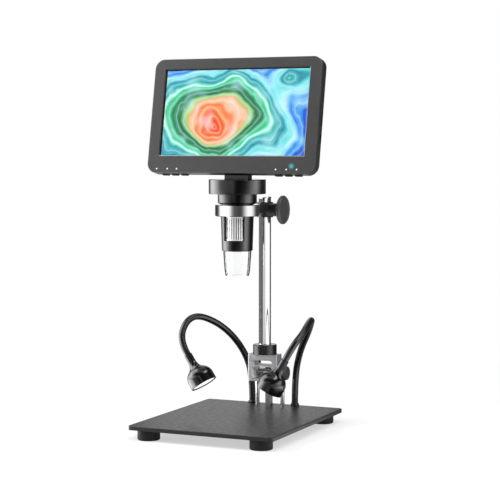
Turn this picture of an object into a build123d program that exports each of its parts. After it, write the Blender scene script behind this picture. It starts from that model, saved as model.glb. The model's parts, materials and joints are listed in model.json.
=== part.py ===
from build123d import *
import math
import os

# Digital microscope on a stand: a screen, a camera head in an arm, a column that a rack
# and pinion lift, a stage plate, and two lamps on flexible necks.
# Millimetres. x right, y back, z up. The origin is on the top face of the base plate,
# on the optical axis of the camera.

# ---------------------------------------------------------------- driving dimensions

# Clearances
PRESS_GAP = 0.02          # radial, between pieces pressed or screwed together
RUN_GAP = 0.06            # radial, between a shaft and the hole it turns or slides in
FREE_GAP = 0.3            # between pieces that pass each other
SEAT_GAP = 0.05           # between pieces laid on each other
CUT_PAST = 1.0            # how far a cutting shape runs past what it cuts

# Base plate and feet
PLATE_WIDTH = 152.0
PLATE_FRONT = 88.0        # optical axis to the front edge
PLATE_BACK_MARGIN = 12.0  # guide rods to the back edge
PLATE_THICKNESS = 4.0
PLATE_CORNER_RADIUS = 4.0
PLATE_EDGE_CHAMFER = 0.5
PLATE_SKIN = 1.2          # left above a blind screw hole
FOOT_DIAMETER = 22.0
FOOT_HEIGHT = 10.0
FOOT_TAPER = 0.8
FOOT_INSET_X = 17.0       # plate edge to the foot's middle
FOOT_INSET_Y = 13.0
FOOT_FLOOR = 3.0          # rubber under the screw's head
BASE_SCREW_RADIUS = 2.0
BASE_SCREW_HEAD_RADIUS = 3.8
BASE_SCREW_HEAD_HEIGHT = 2.4
HEX_SOCKET_RADIUS = 1.5
HEX_SOCKET_DEPTH = 1.2
RACK_SCREW_RADIUS = 1.5
RACK_SCREW_HEAD_RADIUS = 3.0
RACK_SCREW_BITE = 8.0

# Focus carriage: bracket, guide rods, rack and pinion
REACH = 67.0              # optical axis to column axis
FOCUS_UP = 4.0            # travel above and below the middle place
FOCUS_DOWN = 12.0
BRACKET_WIDTH = 32.0
BRACKET_DEPTH = 14.0
BRACKET_BOTTOM = 27.0
BRACKET_HEIGHT = 27.8
BRACKET_CORNER_RADIUS = 1.2
SLOT_WIDTH = 21.0
SLOT_HEIGHT = 4.8
SLOT_CORNER_RADIUS = 2.0
SLOT_RISE = 16.8          # from the bracket's bottom
WINDOW_WIDTH = 22.0
WINDOW_HEIGHT = 12.2
WINDOW_RISE = 3.0
WINDOW_CORNER_RADIUS = 3.0
ROD_SPACING = 28.0
ROD_DIAMETER = 4.4
ROD_OFFSET = 13.0         # rods stand this far behind the column axis
ROD_CAP_DIAMETER = 7.0
ROD_CAP_HEIGHT = 3.0
ROD_CAP_ROOF = 1.0
ROD_CAP_CHAMFER = 0.5
ROD_CAP_GAP = 1.0         # left under the caps at the top of the travel
BUSH_WALL = 1.0
LUG_WALL = 1.3
LUG_HEIGHT = 11.0
LUG_ROOT = 1.0            # how deep the lugs run into the bracket's back
RACK_GROOVE_DEPTH = 1.5
RACK_SIDE_GAP = 2.0
PINION_OFFSET = 5.0       # pinion axis behind the column axis
PINION_RISE = 8.5         # and above the bracket's bottom
GEAR_MODULE = 0.5
PINION_TEETH = 12
PRESSURE_ANGLE = 20.0     # degrees
GEAR_BACKLASH = 0.12
RACK_ADDENDUM = 0.7       # of the module: short rack teeth, so a small pinion clears them
TIP_CLEARANCE = 0.2       # of the module
FLANK_STEPS = 4           # points on each involute flank, less one
PINION_LENGTH = 8.0
SHAFT_DIAMETER = 3.2
RACK_WIDTH = 6.0
RACK_BACK = 5.2           # pitch line to the bar's back face
RACK_SEAT = 0.8           # how deep the bar stands in the plate
FOCUS_KNOB_DIAMETER = 14.0
FOCUS_KNOB_THICKNESS = 4.2
FOCUS_KNOB_FLUTES = 18
FOCUS_KNOB_FLUTE_RADIUS = 0.5
FOCUS_KNOB_CHAMFER = 0.8
FOCUS_KNOB_FACE = 1.0     # solid end that hides the shaft
FOCUS_KNOB_GAP = 0.6      # knob to guide lug

# Column
COLUMN_DIAMETER = 13.0
COLUMN_WALL = 1.5
COLUMN_FOOT = 2.0         # solid end of the tube
COLUMN_SEAT = 5.0         # how deep the column stands in the bracket's top
COLUMN_ABOVE = 4.1        # column above the arm's sleeve
COLUMN_NUT_DIAMETER = 24.3
COLUMN_NUT_HEIGHT = 10.0
COLUMN_NUT_CHAMFER = 0.6
COLUMN_CAP_HEIGHT = 1.5
COLUMN_CAP_PLUG = 8.0
COLUMN_CAP_CHAMFER = 0.7

# Arm and its clamp on the column. Heights are from the level of the arm's middle.
LINER_WALL = 0.7
LINER_RECESS = 0.4
LINER_SLIT = 1.0
SLEEVE_WALL = 1.1
SLEEVE_BELOW = 9.4
SLEEVE_ABOVE = 5.9
ARM_WIDTH = 10.0
ARM_HEIGHT = 9.6
ARM_EDGE_RADIUS = 1.2
BOSS_REACH = 14.0         # clamp boss face from the column axis
BOSS_WIDTH = 12.6
BOSS_HEIGHT = 13.0
BOSS_EDGE_RADIUS = 2.0
LOCK_BELOW = 1.8          # lock screw under the arm's middle
LOCK_SCREW_DIAMETER = 5.0
LOCK_KNOB_DIAMETER = 29.0
LOCK_KNOB_THICKNESS = 4.4
LOCK_KNOB_CHAMFER = 1.3
LOCK_KNOB_RIM = 4.0       # flat rim round the sunk face
LOCK_KNOB_FACE_DEPTH = 0.5
LOCK_KNOB_SKIN = 1.1      # face to the end of the screw's bore
LOCK_KNOB_GAP = 0.5
LOCK_HUB_DIAMETER = 12.5
LOCK_HUB_TAPER = 1.0
LOCK_HUB_LENGTH = 3.1
RING_DIAMETER = 43.6
RING_HEIGHT = 11.2
RING_CHAMFER = 0.5
RING_SEAT_GAP = 0.1       # ring above the barrel's shoulder
ARM_SCREW_DIAMETER = 4.0
ARM_SCREW_HEAD_DIAMETER = 7.0
ARM_SCREW_HEAD_HEIGHT = 2.2
ARM_SCREW_HEAD_SINK = 1.0
ARM_SCREW_LENGTH = 16.0

# Camera head, from the clear cone's end upwards
WORKING_DISTANCE = 140.1  # stage to the cone's end
CONE_LENGTH = 24.3
CONE_TOP_DIAMETER = 27.4
CONE_END_DIAMETER = 22.8
CONE_SHOULDER = 12.0      # where the cone begins to close in, below its top
CONE_SHOULDER_INSET = 0.7
CONE_END_SLOPE = 0.32
CONE_WALL = 1.4
CONE_FLANGE = 1.6
BARREL_LENGTH = 34.1
BARREL_TOP_DIAMETER = 32.3
BARREL_BOTTOM_DIAMETER = 30.2
BARREL_EDGE_RADIUS = 1.6
BARREL_WALL = 1.0         # at the lower end
BARREL_LIP = 1.8
NECK_TUBE_DIAMETER = 30.8
NECK_TUBE_BORE = 24.0
NECK_TUBE_BITE = 6.4      # tube inside the neck ring
WINDOW_START_ANGLE = -32.0   # degrees from the front, towards +x
WINDOW_END_ANGLE = 51.0
WHEEL_WINDOW_HEIGHT = 23.8
WHEEL_BAY_INSET = 1.0     # the bore is narrower round the wheel
WHEEL_RIBS = 36
WHEEL_RIB_DEPTH = 0.6
WHEEL_RIB_SHARE = 0.5     # groove width over rib pitch
WHEEL_RIM = 1.2           # plain ends of the wheel
LENS_TUBE_DIAMETER = 20.0
LENS_TUBE_LENGTH = 21.4
LENS_TUBE_DROP = 4.5      # tube's top below the barrel's shoulder
LENS_SEAT = 0.8
OBJECTIVE_DIAMETER = 12.0
OBJECTIVE_THICKNESS = 3.0
OBJECTIVE_EDGE = 2.2
LED_BOARD_THICKNESS = 1.2
CONE_LED_COUNT = 8
CONE_LED_CIRCLE = 19.0
CONE_LED_DIAMETER = 3.0
CONE_LED_HEIGHT = 3.4
SENSOR_BOARD_RISE = 2.5   # above the barrel's shoulder
SENSOR_BOARD_THICKNESS = 1.2
SENSOR_CHIP_SIZE = 8.0
SENSOR_CHIP_HEIGHT = 1.2
NECK_RING_GAP = 0.8       # above the arm's ring
NECK_RING_DIAMETER = 38.4
NECK_RING_HEIGHT = 9.1
NECK_RING_CHAMFER = 1.2
NECK_RING_LAND = 1.2      # width of the land that runs on the arm's ring
SPIGOT_WALL = 1.4
SPIGOT_HEIGHT = 4.0
COLLAR_GAP = 0.6          # above the neck ring
COLLAR_DIAMETER = 56.1
COLLAR_HEIGHT = 14.3
COLLAR_WALL = 2.4
COLLAR_EDGE_RADIUS = 0.7

# Screen hinge
HINGE_Y = 4.0
HINGE_RISE = 13.4         # above the collar
HINGE_PIN_DIAMETER = 4.0
NECK_BLOCK_WIDTH = 25.0
NECK_BLOCK_FRONT = -4.0
NECK_BLOCK_BACK = 8.0
NECK_BLOCK_EDGE_RADIUS = 1.0
EYE_RADIUS = 6.0
EAR_SPACING = 16.4        # between the case's two ears
EAR_THICKNESS = 4.1
EAR_GAP = 0.5             # under the ears

# Screen. Its own axes: x right, y back from the glass, z up, from the picture's middle.
SCREEN_TILT = 10.8        # degrees, top edge leaning back
PICTURE_WIDTH = 154.1
PICTURE_HEIGHT = 85.9
BORDER_SIDE = 12.45
BORDER_TOP = 10.75
BORDER_BOTTOM = 17.55
CASE_CORNER_RADIUS = 10.0
CASE_WALL = 2.0
BEZEL_FRONT = -1.2
BEZEL_LIP_BACK = 0.2
BEZEL_EDGE_RADIUS = 0.8
PARTING_DEPTH = 7.5
CASE_SIDE_DEPTH = 9.5
CASE_BACK_DEPTH = 19.0
BACK_INSET_SIDE = 14.5    # case edge to the flat back's edge
BACK_INSET_TOP = 13.7
BACK_INSET_BOTTOM = 28.5
BACK_CORNER_RADIUS = 9.0
HINGE_BEHIND = 2.3        # hinge axis behind the flat back
HINGE_LIFT = 11.8         # and above the case's bottom edge
GLASS_THICKNESS = 1.1
GLASS_MARGIN = 3.0
GLASS_CORNER_RADIUS = 1.0
PANEL_MARGIN_SIDE = 4.45  # tray round the picture
PANEL_MARGIN_TOP = 4.05
PANEL_MARGIN_BOTTOM = 9.05
PANEL_THICKNESS = 3.6
BOARD_GAP = 0.8           # sockets on the board to the panel
BOARD_THICKNESS = 1.6
BOARD_HEIGHT = 63.5
BOARD_RIGHT_GAP = 7.5     # board to the case's right-hand side
BOARD_LEFT_GAP = 13.5     # and to its left-hand side
BOARD_LIFT = 7.0          # and to its bottom edge
CHIP_SIZE = 18.0
CHIP_HEIGHT = 1.6
CHIP_LEFT = 46.0          # from the board's left and top edges
CHIP_DROP = 12.0
BATTERY_WIDTH = 62.0
BATTERY_HEIGHT = 38.0
BATTERY_LIFT = 32.5       # above the case's bottom edge
BATTERY_EDGE_RADIUS = 1.5
POST_RADIUS = 2.6
POST_SPACING = 120.0
POST_DROPS = (6.0, 34.0)  # below the board's top edge
CASE_SCREW_INSET_X = 4.9
CASE_SCREW_INSET_Z = 5.3
CASE_SCREW_RADIUS = 1.2
CASE_SCREW_HEAD_RADIUS = 2.1
CASE_SCREW_HEAD_HEIGHT = 1.3
CASE_SCREW_SEAT = 9.3
CASE_SCREW_TIP = 1.7
CROSS_LENGTH = 2.8
CROSS_WIDTH = 0.7
CROSS_DEPTH = 0.6
CASE_BOSS_RADIUS = 2.6
BUTTON_PITCH = 10.3
BUTTON_INSET = 29.0       # case's side to the middle button of each group of three
BUTTON_WIDTH = 7.2
BUTTON_DEPTH = 3.0
BUTTON_EDGE = 0.6         # button to the parting line
BUTTON_EDGE_RADIUS = 0.6
BUTTON_PROUD = 1.5
BUTTON_TRAVEL = 0.6
BUTTON_FLANGE = 0.8
BUTTON_FLANGE_SIDE = 0.7
BUTTON_FLANGE_DEPTH = 0.4
BUTTON_STEM_WIDTH = 2.4
BUTTON_STEM_DEPTH = 1.6
BUTTON_STEM_LENGTH = 1.2
SWITCH_WIDTH = 6.0
SWITCH_GAP = 0.2          # between a pressed stem and its switch
SWITCH_BITE = 1.0         # switch on the board
LED_INSET = 24.3          # from the case's right-hand side
LED_LIFT = 7.4            # above the case's bottom edge
LED_DIAMETER = 2.2
LED_PROUD = 0.2
CARD_SOCKET_Z = -6.0
CARD_SOCKET_WIDTH = 13.0
CARD_SOCKET_HEIGHT = 1.9
USB_SOCKET_Z = -25.0
USB_SOCKET_WIDTH = 8.4
USB_SOCKET_HEIGHT = 3.0
SOCKET_LENGTH = 9.0
SOCKET_WALL = 0.4
SOCKET_BACK = 1.0
VENT_COUNT = 7
VENT_PITCH = 5.0
VENT_WIDTH = 1.6
VENT_LENGTH = 16.0
VENT_DROP = 16.0          # vents' middle below the flat back's top edge

# Lamps on flexible necks
NECK_DIAMETER = 6.8
NECK_SEAT = 2.0           # how deep a neck stands in the plate
NECK_STAND_OFF = 6.7      # necks' sockets behind the guide rods
LAMP_SOCKET_DIAMETER = 8.8
LAMP_SOCKET_HEIGHT = 2.6
LAMP_SOCKET_TAPER = 0.7
LAMP_SOCKET_LIP = 0.3
LAMP_SOCKET_SEAT = 0.8    # how deep a socket stands in the plate
LAMP_MOUTH_DIAMETER = 27.5
LAMP_LENGTH = 34.5        # end of the neck to the mouth
LAMP_SLEEVE_LENGTH = 9.5
LAMP_SLEEVE_RADIUS = 4.1
LAMP_SLEEVE_START = 0.8
LAMP_WALL = 1.2
LAMP_FLARE_RADIUS = 10.0  # hollow curve from the sleeve into the bell
LAMP_SHOULDER_RADIUS = 11.4
LAMP_CROWN = 8.5          # solid top of the bell
LAMP_LENS_RECESS = 1.0
LAMP_LENS_THICKNESS = 1.6
LAMP_LENS_BULGE = 0.6
LAMP_BOARD_GAP = 3.4
LAMP_BOARD_SKIRT = 1.0
LAMP_BOARD_THICKNESS = 1.2
LAMP_BOARD_STEP = 1.5     # the bell narrows behind the window
LAMP_LED_SIZE = 3.4
LAMP_LED_HEIGHT = 1.0
LAMP_FIT = 0.45
# A neck's route goes up from its socket, over, and down to the lamp. The points are
# from where the neck's axis meets the top of the plate.
LEFT_NECK_X = -22.7
RIGHT_NECK_X = 25.0
LEFT_BENDS = [
    (0.0, 0.0, 29.0),
    (-5.8, -8.2, 56.0),
    (-18.3, -28.2, 81.5),
    (-35.3, -53.2, 96.0),
    (-41.8, -71.2, 91.0),
    (-41.4, -85.3, 72.7),
    (-32.6, -85.8, 59.4),
]
RIGHT_BENDS = [
    (0.0, 0.0, 31.0),
    (8.0, -5.2, 58.5),
    (21.5, -16.7, 78.5),
    (32.5, -32.7, 95.0),
    (35.5, -50.7, 91.5),
    (37.0, -68.7, 83.5),
    (33.4, -84.4, 73.4),
    (25.6, -85.2, 59.4),
]
NECK_SPLIT_RUN = 3        # the run, counted from 0, in whose middle a neck is divided
LEFT_LAMP_AIM = (0.552, -0.033, -0.832)
RIGHT_LAMP_AIM = (-0.487, -0.052, -0.872)

# ---------------------------------------------------------------- values worked out

# Carriage
BRACKET_TOP = BRACKET_BOTTOM + BRACKET_HEIGHT
BRACKET_FRONT_Y = REACH - BRACKET_DEPTH / 2
BRACKET_BACK_Y = REACH + BRACKET_DEPTH / 2
SLOT_BOTTOM = BRACKET_BOTTOM + SLOT_RISE
WINDOW_BOTTOM = BRACKET_BOTTOM + WINDOW_RISE
ROD_Y = REACH + ROD_OFFSET
ROD_RADIUS = ROD_DIAMETER / 2
ROD_TOP = BRACKET_BOTTOM + LUG_HEIGHT + FOCUS_UP + ROD_CAP_GAP + ROD_CAP_HEIGHT
ROD_PLACES = [(side * ROD_SPACING / 2, ROD_Y) for side in (-1, 1)]
BUSH_RADIUS = ROD_RADIUS + RUN_GAP + BUSH_WALL
LUG_OUTSIDE = ROD_SPACING / 2 + BUSH_RADIUS + LUG_WALL
LUG_BACK = ROD_Y + BUSH_RADIUS + LUG_WALL
PINION_Y = REACH + PINION_OFFSET
PINION_HEIGHT = BRACKET_BOTTOM + PINION_RISE
PITCH_RADIUS = GEAR_MODULE * PINION_TEETH / 2
RACK_PITCH_Y = PINION_Y + PITCH_RADIUS
RACK_TIP_Y = RACK_PITCH_Y - RACK_ADDENDUM * GEAR_MODULE
RACK_BACK_Y = RACK_PITCH_Y + RACK_BACK
RACK_TOP = BRACKET_TOP - FOCUS_DOWN - 2 * FREE_GAP
RACK_TEETH_BOTTOM = PINION_HEIGHT - FOCUS_DOWN - 2 * PITCH_RADIUS
RACK_SCREW_Y = RACK_PITCH_Y + (GEAR_MODULE + RACK_BACK) / 2

# Base
FLOOR = -PLATE_THICKNESS - FOOT_HEIGHT
PLATE_BACK = ROD_Y + PLATE_BACK_MARGIN
PLATE_CENTRE_Y = (PLATE_BACK - PLATE_FRONT) / 2
BASE_SCREW_BITE = PLATE_THICKNESS - PLATE_SKIN - FREE_GAP
FOOT_PLACES = [(side * (PLATE_WIDTH / 2 - FOOT_INSET_X), y)
               for side in (-1, 1) for y in (FOOT_INSET_Y - PLATE_FRONT, PLATE_BACK - FOOT_INSET_Y)]

# Camera head
CONE_BOTTOM = WORKING_DISTANCE
CONE_RADIUS = CONE_TOP_DIAMETER / 2
BARREL_BOTTOM = CONE_BOTTOM + CONE_LENGTH
BARREL_SHOULDER = BARREL_BOTTOM + BARREL_LENGTH
BARREL_BORE = BARREL_BOTTOM_DIAMETER / 2 - BARREL_WALL
WHEEL_BAY_RADIUS = BARREL_BORE - WHEEL_BAY_INSET
LIP_TOP = BARREL_BOTTOM + BARREL_LIP
FLANGE_TOP = LIP_TOP + CONE_FLANGE
LED_BOARD_BOTTOM = FLANGE_TOP
LED_BOARD_TOP = LED_BOARD_BOTTOM + LED_BOARD_THICKNESS
WHEEL_WINDOW_BOTTOM = BARREL_SHOULDER - WHEEL_WINDOW_HEIGHT
WHEEL_BOTTOM = WHEEL_WINDOW_BOTTOM + FREE_GAP
WHEEL_TOP = BARREL_SHOULDER - FREE_GAP
LENS_TUBE_RADIUS = LENS_TUBE_DIAMETER / 2
LENS_TUBE_TOP = BARREL_SHOULDER - LENS_TUBE_DROP
LENS_TUBE_BOTTOM = LENS_TUBE_TOP - LENS_TUBE_LENGTH
WHEEL_BORE = LENS_TUBE_RADIUS + RUN_GAP
SENSOR_BOARD_BOTTOM = BARREL_SHOULDER + SENSOR_BOARD_RISE
NECK_TUBE_RADIUS = NECK_TUBE_DIAMETER / 2
RING_BORE = NECK_TUBE_RADIUS + RUN_GAP
RING_BOTTOM = BARREL_SHOULDER + RING_SEAT_GAP
RING_TOP = RING_BOTTOM + RING_HEIGHT
NECK_RING_BOTTOM = RING_TOP + NECK_RING_GAP
NECK_RING_TOP = NECK_RING_BOTTOM + NECK_RING_HEIGHT
NECK_TUBE_TOP = NECK_RING_BOTTOM + NECK_TUBE_BITE
SPIGOT_RADIUS = NECK_TUBE_RADIUS + SPIGOT_WALL
COLLAR_RADIUS = COLLAR_DIAMETER / 2
COLLAR_BOTTOM = NECK_RING_TOP + COLLAR_GAP
COLLAR_TOP = COLLAR_BOTTOM + COLLAR_HEIGHT

# Arm, clamp and column
ARM_LEVEL = (RING_BOTTOM + RING_TOP) / 2
SLEEVE_BOTTOM = ARM_LEVEL - SLEEVE_BELOW
SLEEVE_TOP = ARM_LEVEL + SLEEVE_ABOVE
LOCK_HEIGHT = ARM_LEVEL - LOCK_BELOW
COLUMN_RADIUS = COLUMN_DIAMETER / 2
COLUMN_BOTTOM = BRACKET_TOP - COLUMN_SEAT
COLUMN_TOP = SLEEVE_TOP + COLUMN_ABOVE
LINER_RADIUS = COLUMN_RADIUS + RUN_GAP + LINER_WALL
SLEEVE_BORE = LINER_RADIUS + RUN_GAP
SLEEVE_RADIUS = SLEEVE_BORE + SLEEVE_WALL
ARM_SCREW_FACE = RING_BORE + ARM_SCREW_HEAD_SINK
ARM_SCREW_SEAT = ARM_SCREW_FACE + ARM_SCREW_HEAD_HEIGHT
ARM_SCREW_TIP = ARM_SCREW_SEAT + ARM_SCREW_LENGTH

# Screen
CASE_WIDTH = PICTURE_WIDTH + 2 * BORDER_SIDE
CASE_TOP = PICTURE_HEIGHT / 2 + BORDER_TOP
CASE_BOTTOM = -PICTURE_HEIGHT / 2 - BORDER_BOTTOM
BACK_WIDTH = CASE_WIDTH - 2 * BACK_INSET_SIDE
BACK_TOP = CASE_TOP - BACK_INSET_TOP
BACK_BOTTOM = CASE_BOTTOM + BACK_INSET_BOTTOM
INSIDE_BACK = CASE_BACK_DEPTH - CASE_WALL
GLASS_FRONT = BEZEL_LIP_BACK + SEAT_GAP
PANEL_FRONT = GLASS_FRONT + GLASS_THICKNESS + SEAT_GAP
PANEL_BACK = PANEL_FRONT + PANEL_THICKNESS
BOARD_FRONT = PANEL_BACK + BOARD_GAP + USB_SOCKET_HEIGHT
BOARD_BACK = BOARD_FRONT + BOARD_THICKNESS
BOARD_RIGHT = CASE_WIDTH / 2 - BOARD_RIGHT_GAP
BOARD_LEFT = BOARD_LEFT_GAP - CASE_WIDTH / 2
BOARD_BOTTOM = CASE_BOTTOM + BOARD_LIFT
BOARD_TOP = BOARD_BOTTOM + BOARD_HEIGHT
BATTERY_BOTTOM = CASE_BOTTOM + BATTERY_LIFT
LED_X = CASE_WIDTH / 2 - LED_INSET
LED_Z = CASE_BOTTOM + LED_LIFT
VENT_Z = BACK_TOP - VENT_DROP
SCREW_PLACES = [(side * (CASE_WIDTH / 2 - CASE_SCREW_INSET_X), z)
                for side in (-1, 1)
                for z in (CASE_TOP - CASE_SCREW_INSET_Z, CASE_BOTTOM + CASE_SCREW_INSET_Z)]
BUTTON_MIDDLE_DEPTH = PARTING_DEPTH - BUTTON_EDGE - BUTTON_DEPTH / 2
BUTTON_MIDDLE = CASE_WIDTH / 2 - BUTTON_INSET
BUTTON_CENTRES = [side * (BUTTON_MIDDLE + step * BUTTON_PITCH)
                  for side, step in ((-1, 1), (-1, 0), (-1, -1), (1, -1), (1, 0), (1, 1))]
BUTTON_INSIDE = CASE_BOTTOM + CASE_WALL + SEAT_GAP
SWITCH_BOTTOM = BUTTON_INSIDE + BUTTON_FLANGE + BUTTON_STEM_LENGTH + BUTTON_TRAVEL + SWITCH_GAP
SIDE_SOCKETS = [(CARD_SOCKET_Z, CARD_SOCKET_WIDTH, CARD_SOCKET_HEIGHT),
                (USB_SOCKET_Z, USB_SOCKET_WIDTH, USB_SOCKET_HEIGHT)]
SOCKET_DEPTH = BOARD_FRONT - USB_SOCKET_HEIGHT / 2
SOCKET_END = CASE_WIDTH / 2 - CASE_WALL - FREE_GAP

# Hinge, and the screen's place on it
HINGE_POINT = Vector(0, HINGE_Y, COLLAR_TOP + HINGE_RISE)
HINGE_DEPTH = CASE_BACK_DEPTH + HINGE_BEHIND
HINGE_Z = CASE_BOTTOM + HINGE_LIFT
SCREEN_PLACE = Location(HINGE_POINT, (-SCREEN_TILT, 0, 0)) * Pos(0, -HINGE_DEPTH, -HINGE_Z)
NECK_BLOCK_TOP = HINGE_POINT.Z - EYE_RADIUS - EAR_GAP

# Lamps
NECK_RADIUS = NECK_DIAMETER / 2
NECK_Y = ROD_Y + NECK_STAND_OFF
NECK_FEET = [(LEFT_NECK_X, NECK_Y), (RIGHT_NECK_X, NECK_Y)]
LAMP_WINDOW_RADIUS = LAMP_MOUTH_DIAMETER / 2 - LAMP_WALL - LAMP_FIT
LAMP_WINDOW_LOW = LAMP_LENS_RECESS - LAMP_LENGTH
LAMP_WINDOW_TOP = LAMP_WINDOW_LOW + LAMP_LENS_THICKNESS

LOW_ALIGN = (Align.CENTER, Align.CENTER, Align.MIN)


# ---------------------------------------------------------------- shape helpers

def upright(radius, low, high, x=0.0, y=0.0):
    """A cylinder that stands between two heights."""
    return Pos(x, y, low) * Cylinder(radius, high - low, align=LOW_ALIGN)


def crosswise(radius, left, right, y, z):
    """A cylinder along x."""
    return Pos(left, y, z) * Rot(0, 90, 0) * Cylinder(radius, right - left, align=LOW_ALIGN)


def lengthwise(radius, front, back, x, z):
    """A cylinder along y."""
    return Pos(x, front, z) * Rot(-90, 0, 0) * Cylinder(radius, back - front, align=LOW_ALIGN)


def block(x, y, z):
    """A box from three pairs of low and high."""
    middle = [(low + high) / 2 for low, high in (x, y, z)]
    size = [high - low for low, high in (x, y, z)]
    return Pos(*middle) * Box(*size)


def turned(points):
    """A solid turned about the z axis from a closed outline of (radius, height) points."""
    outline = Polyline(*[(radius, 0, height) for radius, height in points], close=True)
    return revolve(make_face(outline), Axis.Z)


def dome_arc(radius, edge, peak):
    """Arc from a rim at one height to a peak on the z axis, centred on that axis."""
    rise = peak - edge
    ball_radius = (radius ** 2 + rise ** 2) / (2 * rise)
    half_angle = math.asin(radius / ball_radius) / 2
    middle = (ball_radius * math.sin(half_angle), 0, peak - ball_radius * (1 - math.cos(half_angle)))
    return ThreePointArc((radius, 0, edge), middle, (0, 0, peak))


def slab(width, low, high, radius, front, back):
    """A rounded rectangle that faces the viewer, from a front depth to a back depth."""
    face = RectangleRounded(width, high - low, radius)
    return Pos(0, front, (low + high) / 2) * Rot(-90, 0, 0) * extrude(face, back - front)


def ring_of(shape, count, radius, start=0.0):
    """Copies of a shape spaced evenly round the z axis."""
    step = 360 / count
    return [Rot(0, 0, start + step * turn) * Pos(radius, 0, 0) * shape for turn in range(count)]


# ---------------------------------------------------------------- base

def base_plate():
    outline = RectangleRounded(PLATE_WIDTH, PLATE_FRONT + PLATE_BACK, PLATE_CORNER_RADIUS)
    plate = Pos(0, PLATE_CENTRE_Y, 0) * extrude(outline, -PLATE_THICKNESS)
    plate = chamfer(plate.faces().sort_by(Axis.Z)[-1].edges(), PLATE_EDGE_CHAMFER)
    for x, y in FOOT_PLACES:
        plate -= upright(BASE_SCREW_RADIUS + PRESS_GAP, -PLATE_THICKNESS, -PLATE_SKIN, x, y)
    for x, y in ROD_PLACES:
        plate -= upright(ROD_RADIUS + PRESS_GAP, -PLATE_THICKNESS, 0, x, y)
    for x, y in NECK_FEET:
        plate -= upright(NECK_RADIUS + PRESS_GAP, -NECK_SEAT, 0, x, y)
        plate -= upright(LAMP_SOCKET_DIAMETER / 2 + PRESS_GAP, -LAMP_SOCKET_SEAT, 0, x, y)
    rack_half = RACK_WIDTH / 2 + PRESS_GAP
    plate -= block((-rack_half, rack_half), (RACK_TIP_Y - PRESS_GAP, RACK_BACK_Y + PRESS_GAP), (-RACK_SEAT, 0))
    plate -= upright(RACK_SCREW_RADIUS + PRESS_GAP, -PLATE_THICKNESS, 0, 0, RACK_SCREW_Y)
    return plate - rack_screw_head(PRESS_GAP)


def rubber_feet():
    top = -PLATE_THICKNESS
    radius = FOOT_DIAMETER / 2
    bore = BASE_SCREW_RADIUS + PRESS_GAP
    counterbore = BASE_SCREW_HEAD_RADIUS + FREE_GAP
    foot = turned([(bore, top), (radius, top), (radius, FLOOR + FOOT_TAPER), (radius - FOOT_TAPER, FLOOR),
                   (counterbore, FLOOR), (counterbore, top - FOOT_FLOOR), (bore, top - FOOT_FLOOR)])
    return [Pos(x, y, 0) * foot for x, y in FOOT_PLACES]


def rack_screw_head(grow=0.0):
    """Countersunk head of the rack's screw, flush with the underside of the plate."""
    low = -PLATE_THICKNESS
    wide = RACK_SCREW_HEAD_RADIUS + grow
    narrow = RACK_SCREW_RADIUS + grow
    top = low + wide - narrow
    return Pos(0, RACK_SCREW_Y, 0) * turned([(0, low), (wide, low), (narrow, top), (0, top)])


def base_screws():
    """Four screws through the feet and one up into the rack."""
    seat = -PLATE_THICKNESS - FOOT_FLOOR
    face = seat - BASE_SCREW_HEAD_HEIGHT
    screw = upright(BASE_SCREW_HEAD_RADIUS, face, seat)
    screw += upright(BASE_SCREW_RADIUS, seat, BASE_SCREW_BITE - PLATE_THICKNESS)
    screw -= Pos(0, 0, face) * extrude(RegularPolygon(HEX_SOCKET_RADIUS, 6), HEX_SOCKET_DEPTH)
    rack_screw = rack_screw_head()
    rack_screw += upright(RACK_SCREW_RADIUS, -PLATE_THICKNESS, RACK_SCREW_BITE, 0, RACK_SCREW_Y)
    return [Pos(x, y, 0) * screw for x, y in FOOT_PLACES] + [rack_screw]


def guide_rods():
    rod = upright(ROD_RADIUS, -PLATE_THICKNESS, ROD_TOP - ROD_CAP_ROOF - SEAT_GAP)
    return [Pos(x, y, 0) * rod for x, y in ROD_PLACES]


def rod_caps():
    """Stop caps pressed on the tops of the guide rods."""
    low = ROD_TOP - ROD_CAP_HEIGHT
    roof = ROD_TOP - ROD_CAP_ROOF
    bore = ROD_RADIUS + PRESS_GAP
    outer = ROD_CAP_DIAMETER / 2
    cap = turned([(0, roof), (bore, roof), (bore, low), (outer, low), (outer, ROD_TOP - ROD_CAP_CHAMFER),
                  (outer - ROD_CAP_CHAMFER, ROD_TOP), (0, ROD_TOP)])
    return [Pos(x, y, 0) * cap for x, y in ROD_PLACES]


def lamp_sockets():
    """Turned sockets that the lamp necks stand in, screwed to the back of the plate."""
    radius = LAMP_SOCKET_DIAMETER / 2
    bore = NECK_RADIUS + PRESS_GAP
    low = -LAMP_SOCKET_SEAT
    socket = turned([(bore, low), (radius, low), (radius, LAMP_SOCKET_HEIGHT - LAMP_SOCKET_TAPER),
                     (bore + LAMP_SOCKET_LIP, LAMP_SOCKET_HEIGHT), (bore, LAMP_SOCKET_HEIGHT)])
    return [Pos(x, y, 0) * socket for x, y in NECK_FEET]


# ---------------------------------------------------------------- rack and pinion

def involute_angle(radius, base_radius):
    """Polar angle an involute has turned through at a radius."""
    roll = math.sqrt((radius / base_radius) ** 2 - 1)
    return roll - math.atan(roll)


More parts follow.
